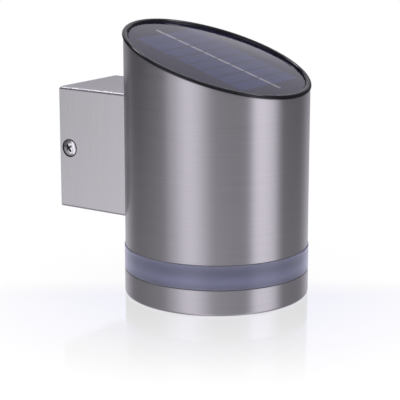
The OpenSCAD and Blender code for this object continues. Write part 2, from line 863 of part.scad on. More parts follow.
// Chassis: a plate and collar in the tube, with the battery bay hanging under it
module chassis() {
    color("whitesmoke") on_axis() difference() {
        union() {
            difference() {
                block([-bay_out_l / 2, -bay_out_w / 2, bay_foot], [bay_out_l / 2, bay_out_w / 2, chassis_lo]);
                block([-bay_l / 2, -bay_w / 2, bay_foot - over], [bay_l / 2, bay_w / 2, bay_z]);
                block([-bay_l / 2, -bay_w / 2, ceiling_top], [bay_l / 2, bay_w / 2, chassis_lo + over]);
            }
            disc(chassis_r, chassis_lo, chassis_hi);
            difference() {
                pipe(chassis_r, collar_in, chassis_hi, collar_top);
                pipe(chassis_r + over, groove_r, oring_z - oring_groove / 2, oring_z + oring_groove / 2);
            }
            at_chassis_screws() {
                disc(post_foot_r, bay_z, post_foot_top);
                disc(post_r, ceiling_top, bridge_z);
            }
            at_base_screws() disc(boss_r, cup_top, chassis_lo);
            at_ctrl_screws() disc(standoff_r, chassis_hi, ctrl_lo);
        }
        at_chassis_screws() {
            disc(head_pocket_r, bay_foot, head_seat);
            disc(screw_d / 2 + screw_gap, bay_foot, bridge_z + over);
        }
        at_base_screws() disc(screw_d / 2 + thread_gap, cup_top - over, cup_top + base_screw_len);
        at_ctrl_screws() disc(small_screw_d / 2 + thread_gap,
            ctrl_top - ctrl_screw_len, ctrl_lo + over);
        at_led_screws() disc(small_screw_d / 2 + thread_gap,
            chassis_lo - over, led_board_lo + led_screw_len + fit);
        translate([0, -switch_y, 0]) disc(wire_hole_r, chassis_lo - over, chassis_hi + over);
        translate([bay_wire_x, 0, 0]) disc(wire_hole_r, chassis_lo - over, chassis_hi + over);
        translate([term_pitch / 2, led_wire_y, 0]) disc(wire_hole_r, chassis_lo - over, chassis_hi + over);
        for (s = [-1, 1]) {
            block([contact_x - contact_t - fit, s * cell_axis_pitch / 2 - contact_tab - fit, bay_z - over],
                [contact_x + fit / 2, s * cell_axis_pitch / 2 + contact_tab + fit, ceiling_top + over]);
        }
    }
}

// Long screws from the bay's ceiling up into the bridge
module chassis_screws() {
    color("silver") on_axis() at_chassis_screws() {
        translate([0, 0, head_seat]) rotate([180, 0, 0])
            pan_screw(screw_d, screw_head_d, screw_head_h, chassis_screw_len);
    }
}

module chassis_seal() {
    color("black") on_axis() translate([0, 0, oring_z]) rotate_extrude()
        translate([groove_r + fit + oring_t / 2, 0]) circle(d = oring_t, $fn = 32);
}

module control_board() {
    color("seagreen") on_axis() difference() {
        block([-ctrl_l / 2, ctrl_y, ctrl_lo], [ctrl_l / 2, ctrl_far, ctrl_top]);
        at_ctrl_screws() disc(small_screw_d / 2 + thread_gap, ctrl_lo - over, ctrl_top + over);
    }
}

module board_screws() {
    color("silver") on_axis() at_ctrl_screws() {
        translate([0, 0, ctrl_top])
            pan_screw(small_screw_d, small_head_d, small_head_h, ctrl_screw_len - fit);
    }
}

// Controller chip with four legs on each side
module controller_chip() {
    color([0.12, 0.12, 0.12]) on_axis() translate([0, part_y, ctrl_top]) {
        block([-chip_l / 2, -chip_w / 2, chip_pin_w / 2], [chip_l / 2, chip_w / 2, chip_h]);
        for (i = [0:chip_pins - 1], s = [-1, 1]) {
            x = (i - (chip_pins - 1) / 2) * chip_pin_pitch;
            near = s * (chip_w / 2 - chip_pin_w);
            far = s * (chip_w / 2 + chip_pin_l);
            block([x - chip_pin_w / 2, min(near, far), 0],
                [x + chip_pin_w / 2, max(near, far), chip_pin_w]);
        }
    }
}

// Choke: a wound core between two flanges
module choke_coil() {
    color("saddlebrown") on_axis() translate([-part_x, part_y, ctrl_top]) {
        disc(choke_d / 2, 0, choke_flange);
        disc(choke_d / 2 - choke_waist, 0, choke_h);
        disc(choke_d / 2, choke_h - choke_flange, choke_h);
    }
}

module storage_capacitor() {
    color("midnightblue") on_axis() translate([part_x, part_y, ctrl_top]) difference() {
        disc(cap_d / 2, 0, cap_h);
        block([-cap_d, -fit, cap_h - fit], [cap_d, fit, cap_h + over]);
    }
}

module wire_terminals() {
    color("ivory") on_axis() for (i = [0:term_count - 1]) {
        translate([(i - (term_count - 1) / 2) * term_pitch, term_y, ctrl_top]) difference() {
            block([-term_l / 2, -term_w / 2, 0], [term_l / 2, term_w / 2, term_h]);
            for (s = [-1, 1]) {
                translate([s * term_pin / 2, 0, 0]) disc(wire_d / 2 + fit, term_h / 2, term_h + over);
            }
        }
    }
}

module led_board() {
    color("white") on_axis() difference() {
        pipe(led_board_r, led_board_in, led_board_lo, chassis_lo);
        at_led_screws() disc(small_screw_d / 2 + thread_gap, led_board_lo - over, chassis_lo + over);
    }
}

module led_chips() {
    color("khaki") on_axis() for (i = [0:led_count - 1]) {
        rotate([0, 0, 360 * (i + 0.5) / led_count]) translate([led_ring_r, 0, 0])
            block([-led_w / 2, -led_l / 2, led_board_lo - led_h], [led_w / 2, led_l / 2, led_board_lo]);
    }
}

module led_board_screws() {
    color("silver") on_axis() at_led_screws() {
        translate([0, 0, led_board_lo]) rotate([180, 0, 0])
            pan_screw(small_screw_d, small_head_d, small_head_h, led_screw_len);
    }
}

// Reflector: a white cone that turns the light out through the diffuser
module reflector() {
    foot = base_top + reflector_foot;
    color("white") on_axis() rotate_extrude() polygon([
        [reflector_top_r - reflector_wall, reflector_top],
        [reflector_top_r, reflector_top],
        [led_board_r, foot],
        [led_board_r, base_top],
        [led_board_r - 2 * reflector_wall, base_top],
        [led_board_r - 2 * reflector_wall, foot],
        [led_board_r - reflector_wall, foot]]);
}

// Diffuser: a frosted ring with a spigot up into the tube and one down into the ring
module diffuser_ring() {
    color([0.8, 0.84, 0.95, 0.9]) on_axis() {
        pipe(spigot_r, diffuser_in, base_top, light_lo + over);
        pipe(band_r, diffuser_in, light_lo, light_hi);
        pipe(spigot_r, diffuser_in, light_hi - over, spigot_top);
    }
}

module upper_seal() {
    color("black") on_axis() {
        pipe(tube_r - seal_inset, seal_in, light_hi, tube_lo);
        pipe(tube_in - fit, seal_in, tube_lo - fit, tube_lo + seal_h);
    }
}

module lower_seal() {
    color("black") on_axis() {
        pipe(ring_r - seal_inset, seal_in, ring_h, light_lo);
        pipe(ring_in - fit, seal_in, ring_h - seal_h, ring_h + fit);
    }
}

// Bottom ring: a steel band with a bent lip under the base
module bottom_ring() {
    bend = [ring_r - ring_bend, ring_bend];
    color("silver") on_axis() rotate_extrude() polygon(concat(
        [[lip_in, 0]],
        arc(bend, ring_bend, -90, 0),
        [[ring_r, ring_h], [ring_in, ring_h]],
        arc(bend, ring_bend - ring_wall, 0, -90),
        [[lip_in, ring_wall]]));
}

// Base plate: carries the door's hinge, the switch and the three screws
module base_plate() {
    color([0.13, 0.13, 0.14]) on_axis() difference() {
        union() {
            disc(base_r, ring_wall, base_top);
            at_base_screws() disc(cup_r, base_top, cup_top);
            for (s = [-1, 1]) {
                near = s * (door_half_l + door_gap);
                far = s * (door_half_l + door_gap + hinge_lug);
                translate([(near + far) / 2, door_axis_y, door_axis_z]) rotate([0, 90, 0])
                    cylinder(r = hinge_lug_r, h = hinge_lug, center = true);
            }
        }
        disc(base_r + over, -reach, ring_wall);
        block([-door_half_l - door_gap, -door_half_w - door_gap, 0],
            [door_half_l + door_gap, door_axis_y + barrel_r + door_gap, cup_top + reach]);
        translate([-reach, door_axis_y, door_axis_z]) rotate([0, 90, 0]) intersection() {
            cylinder(r = hinge_pin_r + hinge_play, h = 2 * reach);
            translate([-reach, -reach, reach - door_half_l - door_gap - hinge_pin_len])
                cube([2 * reach, 2 * reach, 2 * (door_half_l + door_gap + hinge_pin_len)]);
        }
        translate([0, -door_half_w - door_gap, 0]) disc(notch_r, 0, ring_wall + notch_depth);
        at_base_screws() {
            disc(head_pocket_r, 0, cup_seat);
            disc(screw_d / 2 + screw_gap, 0, cup_top + over);
        }
        translate([0, -switch_y, 0]) {
            block([-slot_half_l - well_margin, -slot_half_w - knob_foot_side, 0],
                [slot_half_l + well_margin, slot_half_w + knob_foot_side, ring_wall + well_depth]);
            block([-slot_half_l, -slot_half_w, 0], [slot_half_l, slot_half_w, base_top + over]);
        }
        at_switch_screws() disc(small_screw_d / 2 + thread_gap,
            switch_lo + switch_ear_t - switch_screw_len, base_top + over);
    }
}

module base_screws() {
    color("silver") on_axis() at_base_screws() {
        translate([0, 0, cup_seat]) rotate([180, 0, 0])
            pan_screw(screw_d, screw_head_d, screw_head_h, base_screw_len);
    }
}

// Two cells: a steel can with its raised pole at the end
module battery_cells() {
    color("lightgray") on_axis() at_cells() {
        disc(cell_d / 2 - wrap_t - thread_gap, cell_end - cell_len, cell_end - nub_h);
        disc(nub_r, cell_end - cell_len / 2, cell_end);
    }
}

module cell_wraps() {
    color("yellowgreen") on_axis() at_cells() {
        pipe(cell_d / 2, cell_d / 2 - wrap_t, cell_end - cell_len + wrap_t, cell_end - nub_h - wrap_t);
    }
}

// Contact springs: a cone of wire behind each flat pole
module battery_springs() {
    r_big = cell_d / 2 * spring_big_share;
    r_small = cell_d / 2 * spring_small_share;
    lo = -contact_x + contact_t + spring_wire / 2 + thread_gap;
    hi = cell_end - cell_len - spring_wire / 2 - thread_gap;
    steps = spring_turns * coil_rings;
    coil = [for (i = [0:steps])
        let (t = i / steps, a = 360 * spring_turns * t, r = r_big + (r_small - r_big) * t)
        [r * cos(a), r * sin(a), lo + (hi - lo) * t]];
    color("gainsboro") on_axis() at_cells() tube_along(coil, spring_wire / 2, coil_sides);
}

// Contact plates: two with tabs at the wired end, and one across both cells
module battery_contacts() {
    color("gainsboro") on_axis() {
        for (s = [-1, 1]) {
            translate([0, s * cell_axis_pitch / 2, 0]) {
                block([contact_x - contact_t, -contact_half_w, contact_lo],
                    [contact_x, contact_half_w, contact_hi]);
                block([contact_x - contact_t, -contact_tab, contact_hi - over],
                    [contact_x, contact_tab, contact_tab_top]);
            }
        }
        block([-contact_x, -contact_half_w - cell_axis_pitch / 2, contact_lo],
            [-contact_x + contact_t, contact_half_w + cell_axis_pitch / 2, contact_hi]);
    }
}

module switch_body() {
    color([0.2, 0.2, 0.22]) on_axis() translate([0, -switch_y, 0]) difference() {
        union() {
            block([-switch_l / 2, -switch_w / 2, switch_lo], [switch_l / 2, switch_w / 2, switch_top]);
            block([-switch_l / 2 - switch_ear, -switch_w / 2, switch_lo],
                [switch_l / 2 + switch_ear, switch_w / 2, switch_lo + switch_ear_t]);
        }
        block([-channel_half_l, -channel_half_w, switch_lo - over],
            [channel_half_l, channel_half_w, channel_top]);
        translate([0, switch_y, 0]) at_switch_screws()
            disc(small_screw_d / 2 + thread_gap, switch_lo - over, switch_top);
    }
}

module switch_screws() {
    color("silver") on_axis() at_switch_screws() {
        translate([0, 0, switch_lo + switch_ear_t])
            pan_screw(small_screw_d, small_head_d, small_head_h, switch_screw_len - fit);
    }
}

// Knob of the slide switch, at rest at the -x end of its slot
module switch_knob() {
    color("whitesmoke") on_axis() translate([-switch_travel / 2, -switch_y, 0]) difference() {
        union() {
            block([-knob_l / 2, -knob_w / 2, knob_lo], [knob_l / 2, knob_w / 2, knob_top]);
            block([-knob_l / 2 - knob_foot_side, -knob_w / 2 - knob_foot_side, knob_foot_lo],
                [knob_l / 2 + knob_foot_side, knob_w / 2 + knob_foot_side, knob_top]);
        }
        for (i = [-1:1]) {
            translate([2 * i * knob_rib, 0, 0])
                block([-knob_rib / 2, -knob_w, 0], [knob_rib / 2, knob_w, knob_lo + knob_rib]);
        }
    }
}

// Battery door with its hinge barrel and two pins
module battery_door() {
    color([0.16, 0.16, 0.17]) on_axis() {
        block([-door_half_l, -door_half_w, door_lo], [door_half_l, door_axis_y, door_hi]);
        translate([-door_half_l, door_axis_y, door_axis_z]) rotate([0, 90, 0])
            cylinder(r = barrel_r, h = 2 * door_half_l);
        translate([-door_half_l - hinge_pin_len, door_axis_y, door_axis_z]) rotate([0, 90, 0])
            cylinder(r = hinge_pin_r, h = 2 * (door_half_l + hinge_pin_len));
    }
}

// Rubber frame on the inside of the door
module door_seal() {
    color("black") on_axis() difference() {
        block([-door_half_l, -door_half_w, door_hi], [door_half_l, door_half_w, door_hi + gasket_h]);
        block([-door_half_l + gasket_w, -door_half_w + gasket_w, door_hi - over],
            [door_half_l - gasket_w, door_half_w - gasket_w, door_hi + over]);
    }
}

// Where a wire ends in terminal i, on its side s, and its straight way down into it
function pin(i, s) =
    [(i - (term_count - 1) / 2) * term_pitch + s * term_pin / 2, term_y, term_top - term_h / 4];
function into(p) = [p + [0, 0, term_h], p + [0, 0, term_h / 2], p];

// Height of the panel's underside over a point
function under_panel(y) = cut_z + y * tan(slant) + backing_lo / cos(slant) - wire_d;

// Gap between the bridge and the control board, where wires pass
gap_y = (bridge_w / 2 + ctrl_y) / 2;

// Wire from the panel's underside down to its terminal
function panel_route(s) =
    let (p = pin(0, s), x = s * 2 * term_pin, y = bridge_w / 2 + term_pin, top = under_panel(y))
    concat([[x, y, top], [x, y, top - bezel_spigot], [(x + p[0]) / 2, (y + p[1]) / 2, (top + p[2]) / 2],
        [p[0], p[1], p[2] + 2 * term_h]], into(p));

// Wire from a battery contact up through the chassis to its terminal
function battery_route(s) = let (p = pin(3, s), x = bay_wire_x + s * wire_d)
    concat([[contact_x - contact_t - wire_d, s * cell_axis_pitch / 2, contact_tab_top],
        [x, s * wire_d, chassis_lo - wire_d],
        [x, s * wire_d / 2, ctrl_lo],
        [x, gap_y, bridge_z],
        [(x + p[0]) / 2, part_y, over_parts]], into(p));

// Wire from the light board up past the edge of the control board
function led_route(s) = let (p = pin(2, s))
    concat([[p[0], led_wire_y, chassis_lo + fit], [p[0], led_wire_y, ctrl_top],
        [p[0], led_wire_y - wire_d, term_top + term_h / 2]], into(p));

// Wire from the switch up through the chassis, under the bridge and over the board
function switch_route(s) = let (p = pin(1, s), x = s * wire_d)
    concat([[x, -switch_y, switch_top + fit], [x, -switch_y, chassis_lo],
        [x, wire_d - switch_y, chassis_hi + wire_d],
        [x, -bridge_w / 2, ctrl_top],
        [x, bridge_w / 4, ctrl_top],
        [(x + p[0]) / 2, gap_y, bridge_z],
        [p[0], part_y, over_parts]], into(p));

module red_wires() {
    color("firebrick") on_axis() {
        tube_along(smooth(panel_route(-1)), wire_d / 2, wire_sides);
        tube_along(smooth(battery_route(-1)), wire_d / 2, wire_sides);
    }
}

module black_wires() {
    color([0.1, 0.1, 0.1]) on_axis() {
        tube_along(smooth(panel_route(1)), wire_d / 2, wire_sides);
        tube_along(smooth(battery_route(1)), wire_d / 2, wire_sides);
    }
}

module white_wires() {
    color("white") on_axis() for (s = [-1, 1]) {
        tube_along(smooth(led_route(s)), wire_d / 2, wire_sides);
        tube_along(smooth(switch_route(s)), wire_d / 2, wire_sides);
    }
}

wall_plate();
lock_screws();
mount_box();
mount_bolts();
mount_nuts();
saddle_bar();
housing_tube();
tube_bridge();
bezel_ring();
bezel_seal();
panel_cover();
cell_strips();
cell_ribbon();
panel_board();
panel_foam();
chassis();
chassis_screws();
chassis_seal();
control_board();
board_screws();
controller_chip();
choke_coil();
storage_capacitor();
wire_terminals();
led_board();
led_chips();
led_board_screws();
reflector();
diffuser_ring();
upper_seal();
lower_seal();
bottom_ring();
base_plate();
base_screws();
battery_cells();
cell_wraps();
battery_springs();
battery_contacts();
switch_body();
switch_screws();
switch_knob();
battery_door();
door_seal();
red_wires();
black_wires();
white_wires();
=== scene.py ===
# %% [markdown]
# # A solar wall light in brushed steel
# The light is packed already: every steel, plastic and rubber piece stands in its place, in
# metres. Here it gets what the eye sees: brushed metal, a gloss bezel, cells behind a clear
# sheet, a frosted band, threaded screws, and a small studio round it.

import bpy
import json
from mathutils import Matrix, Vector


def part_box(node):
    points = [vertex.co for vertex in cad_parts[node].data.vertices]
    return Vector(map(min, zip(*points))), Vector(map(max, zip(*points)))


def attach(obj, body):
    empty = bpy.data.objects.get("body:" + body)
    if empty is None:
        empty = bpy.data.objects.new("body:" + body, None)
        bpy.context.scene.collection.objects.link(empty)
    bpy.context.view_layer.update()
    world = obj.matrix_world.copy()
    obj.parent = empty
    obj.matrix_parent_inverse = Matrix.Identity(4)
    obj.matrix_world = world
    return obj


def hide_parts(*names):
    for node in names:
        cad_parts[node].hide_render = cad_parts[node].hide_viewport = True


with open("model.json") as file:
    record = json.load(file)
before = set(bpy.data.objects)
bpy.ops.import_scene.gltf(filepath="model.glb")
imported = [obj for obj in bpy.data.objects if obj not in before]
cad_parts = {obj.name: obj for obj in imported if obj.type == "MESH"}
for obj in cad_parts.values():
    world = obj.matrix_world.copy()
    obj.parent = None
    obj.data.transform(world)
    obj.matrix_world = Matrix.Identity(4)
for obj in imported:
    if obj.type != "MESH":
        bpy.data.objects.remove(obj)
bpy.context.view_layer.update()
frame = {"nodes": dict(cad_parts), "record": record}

# %% [markdown]
# ## Sizes
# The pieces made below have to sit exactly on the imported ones, so their places are read off
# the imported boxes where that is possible. Only what no box shows is written as a number: the
# slant of the top, and the heights of the layers in the solar panel. They are in millimetres,
# because that is how such a light is drawn, and MM turns them into Blender's metres.

# %% Read the places of tube, foot and cut
import json
import math

import bmesh
import bpy
import numpy as np
from mathutils import Matrix, Vector

MM = 0.001
SLANT = math.radians(18.1)

tube_low, tube_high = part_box("housing_tube")
TUBE_R = (tube_high.x - tube_low.x) / 2
AXIS_Y = (tube_low.y + tube_high.y) / 2
FOOT_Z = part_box("bottom_ring")[0].z
CUT_Z = tube_high.z - TUBE_R * math.tan(SLANT)
for label, size in (("tube radius", TUBE_R), ("foot at", FOOT_Z), ("cut at", CUT_Z)):
    print(label, round(size / MM, 1), "mm")

# %% [markdown]
# ## The camera
# A product photograph of something this small is taken from about 70 cm with a long lens, so
# that the tube's sides stay parallel. The camera stands a little above the light, to its left,
# and looks slightly down. It is placed by its azimuth and elevation, then moved sideways until
# the light sits in the frame as in the photograph. The Standard view shows colours as they are
# written, without a film curve over them.

# %% Place the camera
CAMERA_AZIMUTH = math.radians(-55.465)
CAMERA_ELEVATION = math.radians(13.249)
CAMERA_DISTANCE = 685.0 * MM
AIM_HEIGHT = 43.19 * MM
AIM_SIDE = -7.74 * MM
SENSOR_WIDE, LENS = 36, 132.8


def put_in_scene(name, data):
    """A new object in the scene, for a mesh, a camera or a lamp."""
    made = bpy.data.objects.new(name, data)
    bpy.context.scene.collection.objects.link(made)
    return made


camera_right = Vector((math.cos(CAMERA_AZIMUTH), math.sin(CAMERA_AZIMUTH), 0))
camera_back = Vector((
    math.sin(CAMERA_AZIMUTH) * math.cos(CAMERA_ELEVATION),
    -math.cos(CAMERA_AZIMUTH) * math.cos(CAMERA_ELEVATION),
    math.sin(CAMERA_ELEVATION)))
foot = Vector((0, AXIS_Y, FOOT_Z))

camera_data = bpy.data.cameras.new("camera")
camera_data.sensor_width, camera_data.lens = SENSOR_WIDE, LENS
camera = put_in_scene("camera", camera_data)
camera.location = (
    foot + Vector((0, 0, AIM_HEIGHT)) + camera_right * AIM_SIDE + camera_back * CAMERA_DISTANCE)
camera.rotation_euler = camera_back.to_track_quat("Z", "Y").to_euler()
bpy.context.scene.camera = camera
bpy.context.scene.view_settings.view_transform = "Standard"
print("camera at", [round(v, 3) for v in camera.location])

# %% [markdown]
# ## Building blocks for finishes
# A finish is a pattern that the maker's process leaves, such as brush lines or the fine skin
# of a mould, and it moves the colour, the gloss and the surface a little. So there are two
# kinds of node group: patterns, which put out a Height and a Tone, and one group that lets the
# Tone change a colour and a roughness. Every material places them with its own values.

# %% Helpers that add nodes and groups
def add_node(tree, kind, inputs=(), **settings):
    """A node, such as TexCoord for ShaderNodeTexCoord; an input is a number or a socket."""
    node = tree.nodes.new("ShaderNode" + kind)
    for name, value in settings.items():
        setattr(node, name, value)
    for key, value in dict(inputs).items():
        if isinstance(value, bpy.types.NodeSocket):
            tree.links.new(value, node.inputs[key])
        else:
            node.inputs[key].default_value = value
    return node


def math_node(tree, operation, a, b=0.0):
    return add_node(tree, "Math", {0: a, 1: b}, operation=operation).outputs[0]


def map_range(tree, value, start, end, first=0.0, last=1.0, **settings):
    """Goes from first to last while the value goes from start to end, and stops there."""
    return add_node(tree, "MapRange", {
        "Value": value, "From Min": start, "From Max": end, "To Min": first, "To Max": last},
        **settings).outputs["Result"]


def place_on(tree):
    """The place on the surface, in metres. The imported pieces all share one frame."""
    return add_node(tree, "TexCoord").outputs["Object"]


def parts_of(tree, vector):
    return add_node(tree, "SeparateXYZ", {0: vector}).outputs


def mix_colours(tree, share, first, second):
    """The first colour where share is 0, and the second where it is 1."""
    return add_node(tree, "Mix", {"Factor": share, "A": first, "B": second},
                    data_type="RGBA").outputs["Result"]


def new_group(name, inputs, outputs):
    group = bpy.data.node_groups.new(name, "ShaderNodeTree")
    for label, kind, value in inputs:
        socket = group.interface.new_socket(label, in_out="INPUT", socket_type=kind)
        socket.default_value = value
    for label, kind in outputs:
        group.interface.new_socket(label, in_out="OUTPUT", socket_type=kind)
    return group, group.nodes.new("NodeGroupInput"), group.nodes.new("NodeGroupOutput")


def place_group(tree, group, inputs):
    return add_node(tree, "Group", inputs, node_tree=group)


def new_material(name):
    material = bpy.data.materials.new(name)
    material.use_nodes = True
    return material, material.node_tree


NUMBER, COLOUR, VECTOR = "NodeSocketFloat", "NodeSocketColor", "NodeSocketVector"
PATTERN_OUT = [("Height", NUMBER), ("Tone", NUMBER)]
print("a pattern puts out", [label for label, _ in PATTERN_OUT])

# %% [markdown]
# ## Brush lines
# The tube and the ring are brushed while they turn, so their lines run round them. A noise
# that is stretched along the angle round the axis, and squeezed along the height, gives such
# lines without a seam on the side that shows. The box is brushed flat: there the same noise
# is stretched along one straight direction. The lines are fine in the height, and three times
# coarser in the tone.

# %% Group: lines brushed round an axis
# output, share of the fineness, detail
LAYERS = (("Height", 1.0, 3.0), ("Tone", 0.3, 4.0))


def brush_noise(tree, place, detail):
    return add_node(tree, "TexNoise", {
        "Vector": place, "Scale": 1.0, "Detail": detail, "Roughness": 0.6}).outputs["Fac"]


round_brush, given, out = new_group(
    "round_brush",
    [("Axis Y", NUMBER, 0.0), ("Lines", NUMBER, 3000.0), ("Streaks", NUMBER, 3.0)], PATTERN_OUT)
axes = parts_of(round_brush, place_on(round_brush))
off_axis = math_node(round_brush, "SUBTRACT", given.outputs["Axis Y"], axes["Y"])
angle = math_node(round_brush, "ARCTAN2", axes["X"], off_axis)
along = math_node(round_brush, "MULTIPLY", angle, given.outputs["Streaks"])
across = math_node(round_brush, "MULTIPLY", axes["Z"], given.outputs["Lines"])
for label, share, detail in LAYERS:
    line = add_node(round_brush, "CombineXYZ", {
        "X": math_node(round_brush, "MULTIPLY", along, share),
        "Z": math_node(round_brush, "MULTIPLY", across, share)}).outputs[0]
    round_brush.links.new(brush_noise(round_brush, line, detail), out.inputs[label])
print("group", round_brush.name, [s.name for s in round_brush.interface.items_tree])

# %% Group: lines brushed straight
straight_brush, given, out = new_group(
    "straight_brush", [("Squeeze", VECTOR, (3000.0, 3000.0, 60.0))], PATTERN_OUT)
squeezed = add_node(
    straight_brush, "VectorMath",
    {0: place_on(straight_brush), 1: given.outputs["Squeeze"]}, operation="MULTIPLY").outputs[0]
for label, share, detail in LAYERS:
    scaled = add_node(straight_brush, "VectorMath",
                      {0: squeezed, "Scale": share}, operation="SCALE").outputs[0]
    straight_brush.links.new(brush_noise(straight_brush, scaled, detail), out.inputs[label])
print("group", straight_brush.name)

# %% [markdown]
# ## Skins of moulded and plated pieces
# A mould is spark-eroded, which leaves a fine, even pebble on black plastic. Zinc plating has
# small patches of its own. Both are the same idea at different sizes: fine cells for the
# height, and a slow noise for the tone.

# %% Group: fine skin
fine_skin, given, out = new_group(
    "fine_skin", [("Grain", NUMBER, 4000.0), ("Patches", NUMBER, 120.0)], PATTERN_OUT)
place = place_on(fine_skin)
cells = add_node(fine_skin, "TexVoronoi",
                 {"Vector": place, "Scale": given.outputs["Grain"]}, feature="SMOOTH_F1")
patches = add_node(fine_skin, "TexNoise",
                   {"Vector": place, "Scale": given.outputs["Patches"], "Detail": 5.0})
fine_skin.links.new(cells.outputs["Distance"], out.inputs["Height"])
fine_skin.links.new(patches.outputs["Fac"], out.inputs["Tone"])
print("group", fine_skin.name)

# %% [markdown]
# ## From a tone to a colour and a gloss
# No surface has one colour and one gloss all over. This group darkens and lightens a colour
# by Depth and moves a roughness by Spread as the tone goes from 0 to 1, and leaves both as
# they are in the middle.

# %% Group: colour and roughness that follow a tone
toned, given, out = new_group(
    "toned",
    [("Color", COLOUR, (0.5, 0.5, 0.5, 1)), ("Tone", NUMBER, 0.5), ("Depth", NUMBER, 0.1),
     ("Roughness", NUMBER, 0.4), ("Spread", NUMBER, 0.1)],
    [("Color", COLOUR), ("Roughness", NUMBER)])
centred = math_node(toned, "SUBTRACT", given.outputs["Tone"], 0.5)
gain = math_node(toned, "ADD", math_node(toned, "MULTIPLY", centred, given.outputs["Depth"]), 1.0)
shift = math_node(toned, "MULTIPLY", centred, given.outputs["Spread"])
painted = add_node(toned, "VectorMath",
                   {0: given.outputs["Color"], "Scale": gain}, operation="SCALE")
rougher = math_node(toned, "ADD", given.outputs["Roughness"], shift)
toned.links.new(painted.outputs[0], out.inputs["Color"])
toned.links.new(rougher, out.inputs["Roughness"])
print("group", toned.name)

# %% [markdown]
# ## One recipe for a finish
# Every material is put together the same way: a pattern, the tone group, and a Principled
# shader whose own sockets hold what is the same all over, such as how metallic it is. A
# finish may bring a colour of its own that is painted by nodes, as the boards and cells do.

# %% Make a finish
finishes = {}


def make_finish(slot, color, roughness, pattern, values, depth=0.1, spread=0.1, relief=0.0,
                step=0.02 * MM, paint=None, **sockets):
    material, tree = new_material(slot)
    shader = tree.nodes["Principled BSDF"]
    marks = place_group(tree, pattern, values)
    base = paint(tree, marks) if paint else (*color, 1)
    tone = place_group(tree, toned, {
        "Color": base, "Tone": marks.outputs["Tone"], "Depth": depth,
        "Roughness": roughness, "Spread": spread})
    tree.links.new(tone.outputs["Color"], shader.inputs["Base Color"])
    tree.links.new(tone.outputs["Roughness"], shader.inputs["Roughness"])
    if relief:
        bump = add_node(tree, "Bump", {
            "Height": marks.outputs["Height"], "Strength": relief, "Distance": step})
        tree.links.new(bump.outputs[0], shader.inputs["Normal"])
    for name, value in sockets.items():
        shader.inputs[name.replace("_", " ")].default_value = value
    finishes[slot] = material
    return tree, shader


print("patterns to choose from:", [g.name for g in (round_brush, straight_brush, fine_skin)])

# %% [markdown]
# ## Brushed steel
# The tube in the photograph shows soft upright bands of light: across the fine lines the
# reflection is smeared up and down. An anisotropic highlight does this, with its tangent
# running round the axis. On the box the lines run upright, so the smear runs sideways. The
# tube's colour also carries painted shade: ambient occlusion darkens it in the corner with the
# box.

# %% Steel of the tube, the ring and the box
STEEL, BOX_STEEL = (0.60, 0.582, 0.602), (0.72, 0.705, 0.73)
BRUSH_LINES = 5200.0
BRUSH_STEP = 0.01 * MM
# painted shade from ambient occlusion: its reach on the tube, the occlusion where it starts and
# ends, its darkest share and its rays
TUBE_SHADE_REACH = 14 * MM
PAINTED_SHADE_FROM, PAINTED_SHADE_TO, PAINTED_SHADE_SHARE, PAINTED_SHADE_RAYS = 0.45, 0.9, 0.12, 8
NEARLY_UPRIGHT = {"X": 0.03, "Y": 0.1, "Z": 1.0}


def painted_corner_shade(color, reach):
    """A colour with painted shade: ambient occlusion darkens it in corners and recesses."""
    def paint(tree, marks):
        corner = add_node(
            tree, "AmbientOcclusion", {"Distance": reach}, samples=PAINTED_SHADE_RAYS)
        unshaded = map_range(tree, corner.outputs["AO"], PAINTED_SHADE_FROM, PAINTED_SHADE_TO)
        shaded_colour = [PAINTED_SHADE_SHARE * part for part in color]
        return mix_colours(tree, unshaded, (*shaded_colour, 1), (*color, 1))
    return paint


# the tube's colour gets painted shade in its corners; the ring's colour does not
for slot, streaks, paint in (
        ("tube_steel", 3.0, painted_corner_shade(STEEL, TUBE_SHADE_REACH)), ("ring_steel", 2.6, None)):
    tree, shader = make_finish(
        slot, STEEL, 0.30, round_brush,
        {"Axis Y": AXIS_Y, "Lines": BRUSH_LINES, "Streaks": streaks},
        depth=0.22, spread=0.12, relief=0.25, step=BRUSH_STEP, paint=paint,
        Metallic=1.0, Anisotropic=0.75, Anisotropic_Rotation=0.25)
    tangent = add_node(tree, "Tangent", direction_type="RADIAL", axis="Z")
    tree.links.new(tangent.outputs[0], shader.inputs["Tangent"])

tree, shader = make_finish(
    "box_steel", BOX_STEEL, 0.26, straight_brush, {"Squeeze": (6500.0, 6500.0, 30.0)},
    depth=0.2, spread=0.1, relief=0.06, step=BRUSH_STEP,
    Metallic=1.0, Anisotropic=0.7, Anisotropic_Rotation=0.25)
upright = add_node(tree, "CombineXYZ", NEARLY_UPRIGHT)
tree.links.new(upright.outputs[0], shader.inputs["Tangent"])
print("steel:", sorted(finishes))

# %% [markdown]
# ## Plated steel
# The plate on the wall, the saddle and the bridge are zinc plated: a cool grey with faint
# patches. Screws are bright plated and smoother, and the battery contacts are nickel. These
# and the plastics share the fine skin and differ only in numbers, so they come from tables.

# %% Zinc, bright plating and nickel
def skinned(slot, color, roughness, grain, patches, depth, spread, relief, **more):
    """A finish of fine skin: its grain and patches, and how far these move its looks."""
    make_finish(slot, color, roughness, fine_skin, {"Grain": grain, "Patches": patches},
                depth=depth, spread=spread, relief=relief, **more)


